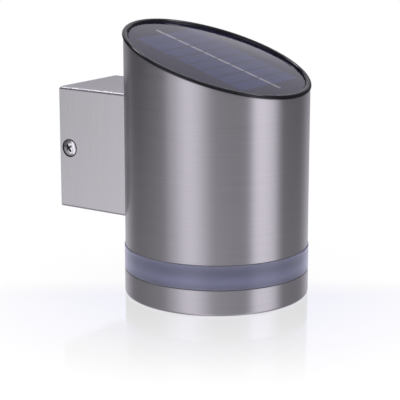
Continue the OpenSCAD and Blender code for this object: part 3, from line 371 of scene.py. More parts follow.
# slot, colour, roughness, grain, patches, depth, spread, relief, and a paint where there is one
# the bright screws get painted shade: ambient occlusion darkens their colour in the cross recess
# and round the head
SCREW_COLOUR_AND_SHADE = painted_corner_shade((0.94, 0.94, 0.96), 1.3 * MM)
for *row, paint in (
        ("zinc_plated_steel", (0.56, 0.57, 0.60), 0.42, 2600, 160, 0.35, 0.2, 0.2, None),
        ("bright_screws", None, 0.1, 3000, 500, 0.12, 0.08, 0.02, SCREW_COLOUR_AND_SHADE),
        ("nickel_plate", (0.70, 0.68, 0.63), 0.26, 3000, 300, 0.15, 0.12, 0.08, None),
        ("silver_ribbon", (0.36, 0.36, 0.40), 0.4, 5000, 900, 0.3, 0.2, 0.3, None)):
    skinned(*row, paint=paint, Metallic=1.0)
print("metals:", len(finishes))

# %% [markdown]
# ## Plastics and rubber
# The bezel is gloss black, so its roughness is low and its skin almost flat. The base and the
# door have the pebble of the mould, and rubber is dull and dusty.

# %% Plastics
skinned("bezel_plastic", (0.006, 0.006, 0.009), 0.1, 3600, 90, 0.5, 0.08, 0.03,
        Specular_IOR_Level=0.4)
for row in (
        ("black_plastic", (0.035, 0.035, 0.038), 0.48, 3600, 90, 0.4, 0.15, 0.35),
        ("door_plastic", (0.04, 0.04, 0.043), 0.5, 3600, 90, 0.4, 0.15, 0.35),
        ("knob_plastic", (0.70, 0.70, 0.69), 0.38, 3600, 90, 0.08, 0.1, 0.12),
        ("white_plastic", (0.78, 0.78, 0.77), 0.4, 3600, 90, 0.06, 0.1, 0.12),
        ("ivory_plastic", (0.74, 0.70, 0.58), 0.4, 3600, 90, 0.06, 0.1, 0.1),
        ("black_rubber", (0.022, 0.022, 0.023), 0.72, 2400, 240, 0.6, 0.2, 0.25),
        ("grey_rubber", (0.13, 0.13, 0.15), 0.6, 2400, 240, 0.4, 0.2, 0.2)):
    skinned(*row)
skinned("foam_tape", (0.07, 0.07, 0.07), 0.85, 1800, 500, 0.5, 0.1, 0.8, step=0.1 * MM)
for slot, color in (("red_jacket", (0.5, 0.03, 0.025)), ("black_jacket", (0.02, 0.02, 0.022)),
                    ("white_jacket", (0.74, 0.74, 0.72))):
    skinned(slot, color, 0.45, 1500, 300, 0.12, 0.12, 0.08)
print("finishes so far:", len(finishes))

# %% [markdown]
# ## Frosted band
# The band is a clear plastic with a frosted face, in front of a white cone in a dark room.
# It lets light in and spreads it, so it looks blue-grey, darker in the middle where one looks
# straight in, and lighter at its ends where it turns away. Its grey also holds painted shade
# that changes with the height: it is darkest two thirds up, where the unlit chamber lies behind
# it, and a colour ramp with a stop for each height paints that shade into the colour.

# %% A level that follows a curve
def curve_of(tree, value, stops, unit, tint=(1, 1, 1)):
    """A colour that goes from stop to stop (place, level), with places in units of the value."""
    low, high = stops[0][0], stops[-1][0]
    ramp = add_node(tree, "ValToRGB", {"Fac": map_range(tree, value, low * unit, high * unit)})
    elements = ramp.color_ramp.elements
    for at, _ in stops[1:-1]:
        elements.new((at - low) / (high - low))
    for stop, (_, level) in zip(elements, stops):
        stop.color = (*(level * part for part in tint), 1)
    return ramp.outputs["Color"]


print("ready to follow curves")

# %% Frosted plastic
# (height above the foot in millimetres, grey level with the painted shade of the chamber behind)
FROST_SHADE_STOPS = [(3, 0.34), (11, 0.42), (12.5, 0.42), (13.6, 0.38), (15.2, 0.42), (16.5, 0.40),
               (18, 0.34), (19.5, 0.30), (20.8, 0.31), (22, 0.38), (23.2, 0.42), (30, 0.50)]
FROST_TINT = (0.97, 1.0, 1.45)


def frost_with_painted_shade(tree, marks):
    """Grey-blue frost with painted shade that follows the stops up the band."""
    height = math_node(tree, "SUBTRACT", parts_of(tree, place_on(tree))["Z"], FOOT_Z)
    return curve_of(tree, height, FROST_SHADE_STOPS, MM, FROST_TINT)


skinned("frosted_plastic", None, 0.3, 5000, 60, 0.06, 0.08, 0.15, paint=frost_with_painted_shade,
        Metallic=0.1, Transmission_Weight=0.8, IOR=1.6,
        Sheen_Weight=1.0, Sheen_Roughness=0.35, Sheen_Tint=(0.8, 0.8, 1.0, 1))
print("frost stops:", len(FROST_SHADE_STOPS))

# %% [markdown]
# ## Solar panel
# Dark cells lie on a dark board behind a clear sheet. A cell has hair-thin silver fingers
# printed across it, and its blue comes from a coating, which is never quite even.

# %% Cells
FINGER_PITCH = 1.9 * MM
FINGER_SHARE = 0.06
STRIP_PITCH = 7.6 * MM
STRIP_EDGE = 0.035
CELL_BLUE, FINGER_SILVER = (0.030, 0.036, 0.145, 1), (0.09, 0.10, 0.2, 1)
GAP_BLACK = (0.012, 0.012, 0.02, 1)


def cell_colour(tree, marks):
    """Blue silicon, hair-thin fingers along the slope, and dark gaps between the strips."""
    xyz = parts_of(tree, place_on(tree))
    share = math_node(tree, "FRACT", math_node(tree, "DIVIDE", xyz["X"], FINGER_PITCH))
    finger = math_node(tree, "LESS_THAN", share, FINGER_SHARE)
    cell = mix_colours(tree, finger, CELL_BLUE, FINGER_SILVER)
    down = math_node(tree, "SUBTRACT", xyz["Y"], AXIS_Y)
    strip = math_node(
        tree, "FRACT", math_node(tree, "DIVIDE", down, STRIP_PITCH * math.cos(SLANT)))
    middle = math_node(tree, "ABSOLUTE", math_node(tree, "SUBTRACT", strip, 0.5))
    edge = math_node(tree, "GREATER_THAN", middle, 0.5 - STRIP_EDGE)
    return mix_colours(tree, edge, cell, GAP_BLACK)


skinned("solar_cells", None, 0.34, 900, 110, 0.6, 0.1, 0.05,
        paint=cell_colour, Specular_IOR_Level=0.0)
print("a finger every", FINGER_PITCH / MM, "mm, a strip every", STRIP_PITCH / MM, "mm")

# %% Backing board and clear sheet
make_finish("panel_backing", (0.014, 0.014, 0.05), 0.42, straight_brush,
            {"Squeeze": (2400.0, 2400.0, 2400.0)}, depth=0.4, spread=0.1, relief=0.1,
            Specular_IOR_Level=0.0)
skinned("clear_cover", (0.95, 0.96, 0.98), 0.035, 800, 30, 0.02, 0.02, 0.0,
        Transmission_Weight=1.0, IOR=1.5)
print("panel finishes done")

# %% [markdown]
# ## Boards and their parts
# Circuit boards carry a coloured lacquer over copper tracks, which shows as paler lines that
# turn at right angles. A brick pattern gives such lines cheaply. The light chips are yellow
# phosphor in a white frame, and the two cells wear a printed sleeve with one plain dark band.

# %% Circuit boards
def tracks(paper, track, pitch):
    def paint(tree, marks):
        return add_node(tree, "TexBrick", {
            "Vector": place_on(tree), "Color1": (*paper, 1), "Color2": (*paper, 1),
            "Mortar": (*track, 1), "Scale": 1 / pitch, "Mortar Size": 0.06,
            "Brick Width": 1.7, "Row Height": 0.8}).outputs["Color"]
    return paint


skinned("green_board", None, 0.3, 2500, 200, 0.3, 0.1, 0.1,
        paint=tracks((0.02, 0.14, 0.06), (0.05, 0.25, 0.10), 4 * MM))
skinned("white_board", None, 0.34, 2500, 200, 0.08, 0.1, 0.08,
        paint=tracks((0.74, 0.74, 0.72), (0.62, 0.63, 0.60), 5 * MM))
print("board finishes done")

# %% Chips, coil, capacitor and cell sleeves
skinned("light_chips", (0.80, 0.66, 0.20), 0.3, 1800, 600, 0.25, 0.1, 0.1)
skinned("copper_winding", (0.45, 0.17, 0.06), 0.3, 900, 500, 0.3, 0.15, 0.1, Metallic=0.8)
skinned("capacitor_sleeve", (0.03, 0.04, 0.16), 0.3, 900, 300, 0.2, 0.1, 0.05)
SLEEVE_END = 9 * MM
SLEEVE_GREEN, SLEEVE_DARK = (0.17, 0.36, 0.07, 1), (0.03, 0.035, 0.04, 1)


def sleeve_colour(tree, marks):
    """Green sleeve with a dark band at both ends of the cells."""
    from_middle = math_node(tree, "ABSOLUTE", parts_of(tree, place_on(tree))["X"])
    band = math_node(tree, "GREATER_THAN", from_middle, SLEEVE_END)
    return mix_colours(tree, band, SLEEVE_GREEN, SLEEVE_DARK)


skinned("cell_sleeve", None, 0.28, 700, 200, 0.15, 0.1, 0.05, paint=sleeve_colour)
print("finishes:", len(finishes))

# %% [markdown]
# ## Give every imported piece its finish
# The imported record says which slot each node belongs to. A node whose shape is right keeps
# its shape and only gets its material here. Those that need softer edges, threads or turns of
# wire are replaced further down.

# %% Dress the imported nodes
slot_of = {part["node"]: part["material_slot"] for part in frame["record"]["subparts"]}
for name, piece in frame["nodes"].items():
    piece.data.materials.clear()
    piece.data.materials.append(finishes[slot_of[name]])
print("dressed:", len(slot_of))

# %% [markdown]
# ## Turned pieces
# The bezel, the clear sheet and the rubber rings are round. Such a piece is a closed outline
# carried round the axis, and its corners are rounded in the outline itself, so that each edge
# catches a line of light. The top of the light is cut at a slant, yet the bezel stays round
# when seen from above. So the same function can shear the piece: its heights are then measured
# square to the cut. Faces between one ring of points and the next come from one helper, which
# the screws, the wires and the choke use too.

# %% Round the corners of an outline
ROUND_STEPS = 4


def rounded(corners):
    """Outline through corners (across, up, radius), each with its own rounding."""
    points = []
    for i, (x, y, radius) in enumerate(corners):
        here = Vector((x, y))
        before = (Vector(corners[i - 1][:2]) - here).normalized()
        after = (Vector(corners[(i + 1) % len(corners)][:2]) - here).normalized()
        if not radius:
            points.append(here)
            continue
        half = before.angle(after) / 2
        centre = here + (before + after).normalized() * radius / math.sin(half)
        start, end = (here + side * radius / math.tan(half) - centre for side in (before, after))
        for k in range(ROUND_STEPS + 1):
            arm = start.lerp(end, k / ROUND_STEPS).normalized() * radius
            points.append(centre + arm)
    return points


print("a rounded corner has", ROUND_STEPS + 1, "points")

# %% From a bmesh to a piece of the light
SHARP_EDGE = math.radians(35)
WELD = 0.001 * MM


def join_rings(bm, rings, skipped=()):
    """Lays faces between each closed ring of points and the next."""
    for near, far in zip(rings, rings[1:]):
        for k in range(len(near)):
            m = (k + 1) % len(near)
            if k not in skipped:
                bm.faces.new((near[k], near[m], far[m], far[k]))


def mesh_from(name, bm):
    """The mesh of a finished bmesh, with every face turned outward."""
    mesh = bpy.data.meshes.new(name)
    bmesh.ops.recalc_face_normals(bm, faces=bm.faces)
    bm.to_mesh(mesh)
    bm.free()
    return mesh


def add_piece(name, bm, material, body="lamp", replaced=()):
    """Turns a finished bmesh into a piece of the light that rides on its body."""
    mesh = mesh_from(name, bm)
    mesh.shade_smooth()
    mesh.set_sharp_from_angle(angle=SHARP_EDGE)
    mesh.materials.append(finishes[material])
    piece = put_in_scene(name, mesh)
    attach(piece, body)
    if replaced:
        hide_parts(*replaced)
    return piece


print("edges sharper than", round(math.degrees(SHARP_EDGE)), "degrees stay crisp")

# %% Turn an outline round the light's axis
TURN_STEPS = 192


def turn_into(bm, outline, foot_height, slanted=False):
    """Adds an outline (radius, height), in metres, turned about the light's axis."""
    rings = []
    for i in range(TURN_STEPS):
        angle = 2 * math.pi * i / TURN_STEPS
        ring = []
        for r, h in outline:
            y = r * math.sin(angle)
            rise = y * math.tan(SLANT) + h / math.cos(SLANT) if slanted else h
            ring.append(bm.verts.new((r * math.cos(angle), AXIS_Y + y, foot_height + rise)))
        rings.append(ring)
    on_axis = [k for k, point in enumerate(outline)
               if not point[0] and not outline[(k + 1) % len(outline)][0]]
    join_rings(bm, rings + rings[:1], skipped=on_axis)
    bmesh.ops.remove_doubles(bm, verts=bm.verts, dist=WELD)


def turned(name, corners, material, foot_height, slanted=False, **more):
    """A turned piece from corners (radius, height, rounding) in millimetres."""
    bm = bmesh.new()
    outline = [p * MM for p in rounded(corners)]
    turn_into(bm, outline, foot_height, slanted)
    piece = add_piece(name, bm, material, **more)
    print(name, len(piece.data.polygons), "faces")
    return piece


# %% [markdown]
# ## The bezel
# The bezel is a gloss black moulding: a flat land, a soft outer edge that hides the cut of the
# tube, a crisp inner lip, and a spigot with a groove for its rubber band. In the photograph
# one sees the land in grey, a bright line on the lip, and the dark inner wall on the far side.

# %% Turn the bezel, its rubber band and the foam tape
turned("bezel", [
    (41.5, 0, 0), (43.0, 0, 0.1), (43.0, 1.2, 1.1), (40.4, 1.2, 1.1), (40.4, -3.0, 0.1),
    (35.8, -3.0, 0.3), (35.8, -4.4, 0.3), (39.9, -4.4, 0.4), (39.9, -9.0, 0.3),
    (41.5, -9.0, 0.4), (41.5, -7.4, 0.1), (40.7, -7.4, 0.1), (40.7, -5.4, 0.1), (41.5, -5.4, 0.1)],
    "bezel_plastic", CUT_Z, slanted=True, replaced=["bezel_ring"])
turned("bezel_band", [
    (40.8, -7.3, 0.3), (41.6, -7.3, 0.3), (41.6, -5.5, 0.3), (40.8, -5.5, 0.3)],
    "black_rubber", CUT_Z, slanted=True, replaced=["bezel_seal"])
turned("foam_ring", [
    (35.8, -3.0, 0.1), (40.2, -3.0, 0.1), (40.2, -2.5, 0.1), (35.8, -2.5, 0.1)],
    "foam_tape", CUT_Z, slanted=True, replaced=["panel_foam"])

# %% [markdown]
# ## The clear sheet
# The real sheet is cast onto the cells, so there is no air between them and only its upper
# face mirrors the sky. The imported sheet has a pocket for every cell, and each pocket wall would
# bend and mirror the light again. Here it is one clear disc that reaches a little way into the
# board, so that light meets the cells while it is still inside the clear plastic.

# %% A disc cast round the cells
turned("clear_sheet", [(0, -1.1, 0), (40.2, -1.1, 0), (40.2, 0.2, 0.15), (0, 0.2, 0)],
       "clear_cover", CUT_Z, slanted=True, replaced=["panel_cover"])

# %% [markdown]
# ## Rings of rubber
# Two flat rubber rings seal the frosted band, and an O-ring seals the chassis in the tube. Each
# is one closed outline turned round the axis. The flat ones have a thin lip that shows outside
# as a dark seam, and the O-ring's outline is simply round.

# %% Turn the seals and the O-ring
BAND_SEALS = [
    ("upper_ring", "upper_seal", [(42.2, 23.0, 0.15), (42.2, 23.5, 0.15), (41.6, 23.5, 0),
                                  (41.6, 28.0, 0.3), (40.4, 28.0, 0.15), (40.4, 23.0, 0.1)]),
    ("lower_ring", "lower_seal", [(42.5, 12.3, 0.15), (40.4, 12.3, 0.1), (40.4, 7.3, 0.15),
                                  (41.9, 7.3, 0.3), (41.9, 11.8, 0), (42.5, 11.8, 0.15)])]
for name, node, corners in BAND_SEALS:
    turned(name, corners, "grey_rubber", FOOT_Z, replaced=[node])

ORING_R, ORING_SECTION, ORING_Z, ORING_SIDES = 40.95, 0.65, 34.75, 20


def circle(steps):
    """Cosine and sine of a full turn in even steps."""
    turns = np.linspace(0, 2 * math.pi, steps, endpoint=False)
    return [(math.cos(a), math.sin(a)) for a in turns]


bm = bmesh.new()
turn_into(bm, [
    Vector((ORING_R + ORING_SECTION * c, ORING_Z + ORING_SECTION * s)) * MM
    for c, s in circle(ORING_SIDES)], FOOT_Z)
add_piece("chassis_oring", bm, "black_rubber", replaced=["chassis_seal"])
print("seals done")

# %% [markdown]
# ## The frame seal of the battery door
# This seal is a flat rubber frame with rounded corners. Its section is a low bead, so the same
# closed section is carried round a rounded rectangle instead of a circle.

# %% Carry a section round a rounded rectangle
SEAL_HALF_X, SEAL_HALF_Y, SEAL_CORNER, SEAL_WIDE = 25.7, 12.3, 2.0, 1.2
SEAL_LOW, SEAL_HIGH = 2.6, 3.2
BEAD, BEAD_FOOT = 0.28, 0.1
CORNER_STEPS = 10


def rounded_rectangle(half_x, half_y, radius):
    """Points and outward directions round a rectangle, in millimetres."""
    points = []
    for quarter, (side_x, side_y) in enumerate(((1, 1), (-1, 1), (-1, -1), (1, -1))):
        for k in range(CORNER_STEPS + 1):
            a = math.pi / 2 * (quarter + k / CORNER_STEPS)
            out_x, out_y = math.cos(a), math.sin(a)
            points.append((side_x * (half_x - radius) + radius * out_x,
                           side_y * (half_y - radius) + radius * out_y, out_x, out_y))
    return points


bm = bmesh.new()
section = rounded([(0, SEAL_LOW, BEAD_FOOT), (0, SEAL_HIGH, BEAD),
                   (-SEAL_WIDE, SEAL_HIGH, BEAD), (-SEAL_WIDE, SEAL_LOW, BEAD_FOOT)])
rings = []
for x, y, out_x, out_y in rounded_rectangle(SEAL_HALF_X, SEAL_HALF_Y, SEAL_CORNER):
    rings.append([bm.verts.new((
        (x + p.x * out_x) * MM, AXIS_Y + (y + p.x * out_y) * MM, FOOT_Z + p.y * MM))
        for p in section])
join_rings(bm, rings + rings[:1])
add_piece("door_frame_seal", bm, "black_rubber", body="battery_door", replaced=["door_seal"])
print("door seal corners:", len(rings))

# %% [markdown]
# ## Screws with threads and cross recesses
# All screws of the light are pan-head screws with a cross recess. One screw is a grid that is
# turned round its own axis: from the tip up the shank, out under the head and over its dome.
# The thread is in the same grid, because the shank's radius goes in and out with the height
# and with the angle. The recess is then cut with two tapered bars, so its walls are crisp.

# %% Shank, thread and head
SCREW_STEPS = 24
THREAD_DEPTH = 0.13
THREAD_STEPS, DOME_STEPS = 6, 8
THREAD_WELD = 1e-5
TIP_START, TIP_GROWTH = 0.7, 0.3
HEAD_EDGE, HEAD_RIM, HEAD_DOME = 0.12, 0.38, 0.62


def thread_grid(bm, size, head_r, head_h, length, pitch, plain):
    """Shank and head as one closed skin. The seat is at height 0 and the head points up."""
    radius = size / 2
    heights = np.linspace(-length, 0, max(4, round(length / pitch * THREAD_STEPS)))
    rings = [[(0, -length)] * SCREW_STEPS]
    for h in heights:
        ring = []
        for i in range(SCREW_STEPS):
            wave = abs(((h / pitch - i / SCREW_STEPS) % 1) * 2 - 1)
            depth = THREAD_DEPTH * size * wave * (h < -plain)
            tip = min(1, TIP_START + TIP_GROWTH * (h + length) / pitch)
            ring.append(((radius - depth) * tip, h))
        rings.append(ring)
    edge = HEAD_EDGE * head_h
    profile = [(head_r - edge, 0), (head_r, edge)]
    profile += [(head_r * math.cos(t), head_h * (HEAD_RIM + HEAD_DOME * math.sin(t)))
                for t in np.linspace(0, math.pi / 2, DOME_STEPS)]
    rings += [[point] * SCREW_STEPS for point in profile]
    verts = [[bm.verts.new((r * math.cos(2 * math.pi * i / SCREW_STEPS),
                            r * math.sin(2 * math.pi * i / SCREW_STEPS), h))
              for i, (r, h) in enumerate(ring)] for ring in rings]
    join_rings(bm, verts)
    bmesh.ops.remove_doubles(bm, verts=bm.verts, dist=THREAD_WELD)


print("a screw has", SCREW_STEPS, "points round and a thread", THREAD_DEPTH, "of its size deep")

# %% The cross recess
RECESS_LONG, RECESS_WIDE, RECESS_DEEP = 0.56, 0.15, 0.8
ABOVE_HEAD = 1.3
# share of the bar's length and of its width, at the bottom and at the top
TAPER = (0.45, 0.7), (1.15, 1.15)


def recess_bar(head_r, head_h, turn):
    """One tapered bar of the cross, wide at the top and narrow at the bottom."""
    bm = bmesh.new()
    rings = []
    for h, (long, wide) in zip(((1 - RECESS_DEEP) * head_h, ABOVE_HEAD * head_h), TAPER):
        a, b = RECESS_LONG * head_r * long, RECESS_WIDE * head_r * wide
        rings.append([bm.verts.new((x, y, h)) for x, y in ((a, b), (-a, b), (-a, -b), (a, -b))])
    bm.faces.new(rings[0][::-1])
    bm.faces.new(rings[1])
    join_rings(bm, rings)
    bmesh.ops.rotate(bm, verts=bm.verts, cent=(0, 0, 0), matrix=Matrix.Rotation(turn, 3, "Z"))
    return bm


def screw_mesh(size, head_r, head_h, length, pitch, plain=0.0):
    """Mesh of one screw in millimetres, with its recess cut."""
    bm = bmesh.new()
    thread_grid(bm, size, head_r, head_h, length, pitch, plain)
    blank = put_in_scene("blank", mesh_from("blank", bm))
    bars = [put_in_scene("bar", mesh_from("bar", recess_bar(head_r, head_h, turn)))
            for turn in (0, math.pi / 2)]
    for bar in bars:
        cut = blank.modifiers.new("cut", "BOOLEAN")
        cut.operation, cut.solver, cut.object = "DIFFERENCE", "EXACT", bar
    seen = blank.evaluated_get(bpy.context.evaluated_depsgraph_get())
    mesh = bpy.data.meshes.new_from_object(seen)
    for made in (blank, *bars):
        bpy.data.objects.remove(made)
    return mesh


print("the recess goes", RECESS_DEEP, "of the head deep")

# %% Many screws at once
NEXT_TURN = 47


def place_screws(name, node, places, *sizes, turn=20):
    """Puts the same screw at every place (x, y, z, head direction), in millimetres."""
    mesh = screw_mesh(*sizes)
    bm = bmesh.new()
    for i, (x, y, z, head) in enumerate(places):
        start = len(bm.verts)
        bm.from_mesh(mesh)
        bm.verts.ensure_lookup_table()
        aim = Vector(head).to_track_quat("Z", "Y").to_matrix().to_4x4()
        spin = Matrix.Rotation(math.radians(turn + NEXT_TURN * i), 4, "Z")
        move = Matrix.Translation(Vector((x, y, z)) * MM) @ aim @ spin @ Matrix.Scale(MM, 4)
        bmesh.ops.transform(bm, matrix=move, verts=bm.verts[start:])
    add_piece(name, bm, "bright_screws", replaced=[node])
    print(name, len(places), "screws,", len(mesh.polygons), "faces each")


# %% [markdown]
# ## Where the screws sit
# Heights inside the light are measured from its foot and places from its axis, so they are
# shifted into the shared frame here. The lock screws and the bolts are measured in that frame.
# Each screw stops at a turn of its own, as real ones do.

# %% Put every screw in its place
SHIFT_Y, SHIFT_Z = AXIS_Y / MM, FOOT_Z / MM
UP, DOWN = (0, 0, 1), (0, 0, -1)


def inside_light(places, height, head):
    return [(x, y + SHIFT_Y, height + SHIFT_Z, head) for x, y in places]


# places, then thread, head radius, head height, length, pitch, plain length under the head
place_screws("side_lock_screws", "lock_screws", [(x, -6, 0, (x, 0, 0)) for x in (-21, 21)],
             4.0, 4.0, 2.2, 8.0, 0.7, turn=35)
place_screws("through_bolts", "mount_bolts",
             [(0, 38.6 + SHIFT_Y, z, (0, -1, 0)) for z in (-18, 18)], 4.0, 3.5, 2.4, 11.0, 0.7)
place_screws("long_chassis_screws", "chassis_screws",
             inside_light([(-14, 0), (14, 0)], 17.1, DOWN), 3.0, 2.8, 2.0, 26.0, 1.0, 14.0)
place_screws("base_plate_screws", "base_screws",
             inside_light([(-17, -19), (17, -19), (0, 23)], 3.4, DOWN), 3.0, 2.8, 2.0, 10.0, 1.0)
SMALL_SCREW = 2.0, 1.9, 1.4
place_screws("control_board_screws", "board_screws",
             inside_light([(x, y) for x in (-20, 20) for y in (13, 27)], 35.6, UP),
             *SMALL_SCREW, 4.9, 0.7)
LIGHT_SCREW_R = 34.95
place_screws("light_board_screws", "led_board_screws",
             inside_light([(LIGHT_SCREW_R * math.cos(a), LIGHT_SCREW_R * math.sin(a))
                           for a in np.radians((0, 120, 240))], 27.9, DOWN),
             *SMALL_SCREW, 3.2, 0.7)
place_screws("slide_switch_screws", "switch_screws",
             inside_light([(-8.2, -21), (8.2, -21)], 4.4, UP), *SMALL_SCREW, 2.9, 0.7)

# %% [markdown]
# ## Wires and springs
# A wire is a path with a round section. The path runs smoothly through a few points, from the
# panel, the battery contacts, the switch or the light board into a terminal, and the section is
# carried along it without twisting. The battery springs are made by the same function, with a
# path that winds down a cone.

# %% Carry a round section along a path
WIRE_SIDES = 12
PATH_STEPS = 8


def smooth_path(points):
    """A smooth path through points, with even bends at each of them."""
    p = [points[0]] + points + [points[-1]]
    path = []
    for a, b, c, d in zip(p, p[1:], p[2:], p[3:]):
        for k in range(PATH_STEPS):
            t = k / PATH_STEPS
            path.append(0.5 * (2 * b + (c - a) * t + (2 * a - 5 * b + 4 * c - d) * t ** 2
                               + (3 * b - 3 * c + d - a) * t ** 3))
    return path + [points[-1]]


def tube_along(bm, path, radius, sides=WIRE_SIDES):
    """A closed tube round a path given in metres."""
    side = (path[1] - path[0]).orthogonal().normalized()
    rings = []
    for i, here in enumerate(path):
        way = (path[min(i + 1, len(path) - 1)] - path[max(i - 1, 0)]).normalized()
        side = (side - way * side.dot(way)).normalized()
        up = way.cross(side)
        rings.append([bm.verts.new(here + (side * c + up * s) * radius) for c, s in circle(sides)])
    join_rings(bm, rings)
    bm.faces.new(rings[0])
    bm.faces.new(rings[-1])


def in_light(x, y, z):
    """A place given from the light's axis and foot, in millimetres."""
    return Vector((x, y + SHIFT_Y, z + SHIFT_Z)) * MM


print("a wire has", WIRE_SIDES, "sides")

# %% [markdown]
# ## Routes of the wires
# Four terminals stand in a row at the back of the control board, with two pins each. Every
# route ends in the same way, straight down into its pin. A route is a list of points from the
# light's axis and foot, in millimetres, and side says which of the two wires it is for.

# %% Plan the routes
WIRE_R = 0.6
PIN_PITCH, PIN_SPREAD, PIN_Y, PIN_Z = 9.0, 1.25, 25.0, 40.1
CUT_HEIGHT, PANEL_DEPTH, PANEL_EXIT_Y = 109.3, 2.5, 9.5
PANEL_UNDER = (CUT_HEIGHT + PANEL_EXIT_Y * math.tan(SLANT) - PANEL_DEPTH / math.cos(SLANT)
               - 2 * WIRE_R)
CELL_Y, CELL_Z = 5.45, 8.9


def into_pin(terminal, side):
    x = (terminal - 1.5) * PIN_PITCH + side * PIN_SPREAD
    return x, [(x, PIN_Y, PIN_Z + 6), (x, PIN_Y, PIN_Z + 3), (x, PIN_Y, PIN_Z)]


def panel_route(side):
    x, end = into_pin(0, side)
    top = (side * 5, PANEL_EXIT_Y, PANEL_UNDER)
    middle = ((top[0] + x) / 2, (PANEL_EXIT_Y + PIN_Y) / 2, (PANEL_UNDER + PIN_Z) / 2)
    return [top, (*top[:2], PANEL_UNDER - 9), middle, (x, PIN_Y, PIN_Z + 12), *end]


def battery_route(side):
    px, end = into_pin(3, side)
    x = 21.1 + side * 1.2
    return [(22.85, side * CELL_Y, 18.9), (x, side * 1.2, 28.3), (x, side * 0.6, 34), (x, 8.5, 40),
            ((x + px) / 2, 15, 46), *end]


def light_route(side):
    x, end = into_pin(2, side)
    return [(x, 33.6, 29.6), (x, 33.6, 35.6), (x, 32.4, 44.6), *end]


def switch_route(side):
    px, end = into_pin(1, side)
    x = side * 1.2
    return [(x, -21, 8.8), (x, -21, 29.5), (x, -19.8, 32.7), (x, -7, 35.6), (x, 3.5, 35.6),
            ((x + px) / 2, 8.5, 40), (px, 15, 46), *end]


print("panel wires start", round(PANEL_UNDER, 1), "mm above the foot")

# %% Lay the wires
for node, routes in (
        ("red_wires", [panel_route(-1), battery_route(-1)]),
        ("black_wires", [panel_route(1), battery_route(1)]),
        ("white_wires", [light_route(-1), light_route(1), switch_route(-1), switch_route(1)])):
    bm = bmesh.new()
    for route in routes:
        tube_along(bm, smooth_path([in_light(*point) for point in route]), WIRE_R * MM)
    add_piece(node.replace("wires", "leads"), bm, slot_of[node], replaced=[node])
    print(node, len(routes), "wires")

# %% Wind the battery springs
SPRING_TURNS, SPRING_STEPS, SPRING_WIRE_R, SPRING_SIDES = 2.5, 32, 0.25, 10
SPRING_WIDE, SPRING_SLIM = 4.095, 2.415
SPRING_START, SPRING_END = -23.75, -20.8
bm = bmesh.new()
for side in (1, -1):
    path = []
    for t in np.linspace(0, 1, int(SPRING_TURNS * SPRING_STEPS)):
        a = 2 * math.pi * SPRING_TURNS * t
        r = SPRING_WIDE + (SPRING_SLIM - SPRING_WIDE) * t
        along = SPRING_START + (SPRING_END - SPRING_START) * t
        path.append(in_light(
            side * along, -side * CELL_Y + r * math.cos(a), CELL_Z + r * math.sin(a)))
    tube_along(bm, path, SPRING_WIRE_R * MM, SPRING_SIDES)
add_piece("cell_springs", bm, slot_of["battery_springs"], replaced=["battery_springs"])
print("springs of", SPRING_TURNS, "turns")

# %% [markdown]
# ## The choke's winding
# A choke is enamelled wire wound on a core between two flanges. Its outline is the bobbin's,
# with one small arc for every turn of wire, turned round its own axis on the board.

# %% Turn the wound choke
CHOKE_X, CHOKE_Y, CHOKE_Z = -13.0, 15.0, 35.6
CHOKE_R, CHOKE_CORE, CHOKE_HIGH, CHOKE_FLANGE, CHOKE_EDGE = 4.0, 2.6, 6.0, 1.0, 0.15
WINDING_THICK, LOOSE = 0.75, 0.98
CHOKE_TURNS, CHOKE_STEPS, ARC_STEPS = 10, 48, 6
wire_r = (CHOKE_HIGH - 2 * CHOKE_FLANGE) / CHOKE_TURNS / 2


def flange(low, high):
    """Rim of one flange of the bobbin, with its edges taken off."""
    return [(CHOKE_R - CHOKE_EDGE, low), (CHOKE_R, low + CHOKE_EDGE),
            (CHOKE_R, high - CHOKE_EDGE), (CHOKE_R - CHOKE_EDGE, high)]


outline = [(0, 0)] + flange(0, CHOKE_FLANGE)
for turn in range(CHOKE_TURNS):
    for a in np.linspace(-math.pi / 2, math.pi / 2, ARC_STEPS):
        outline.append((CHOKE_CORE + WINDING_THICK + wire_r * math.cos(a),
                        CHOKE_FLANGE + wire_r * (2 * turn + 1 + LOOSE * math.sin(a))))
outline += flange(CHOKE_HIGH - CHOKE_FLANGE, CHOKE_HIGH) + [(0, CHOKE_HIGH)]
bm = bmesh.new()
join_rings(bm, [
    [bm.verts.new(in_light(CHOKE_X + r * c, CHOKE_Y + r * s, CHOKE_Z + z))
     for c, s in circle(CHOKE_STEPS)] for r, z in outline])
bmesh.ops.remove_doubles(bm, verts=bm.verts, dist=WELD)
add_piece("wound_choke", bm, slot_of["choke_coil"], replaced=["choke_coil"])
print("choke with", CHOKE_TURNS, "turns")

# %% [markdown]
# ## The studio
# Brushed steel has hardly a look of its own: it shows what stands round it. The photograph
# was lit by two tall soft panels, one to the left of the camera and one to the right, in a room
# that is dark elsewhere. Here a round tent stands for panels, cards and room. The upright tube
# mirrors each direction of it in a stripe of its own, so the tent's level is given all round,
# near the floor for the foot of the tube and higher up for its top. A grey ceiling closes it.
# Four brighter places lie behind the light: the sky that the solar panel mirrors, a thin strip
# for the line on the bend of the box, the gap for the sheen on the box's top, and a low
# backdrop for the two edges of the tube. Only reflections see the tent, so it puts no extra
# light on the object.

# %% The levels of the tent
TENT_RADIUS, TENT_STEPS = 1.6, 64
TENT_TINT = (1.01, 0.985, 1.07, 1)

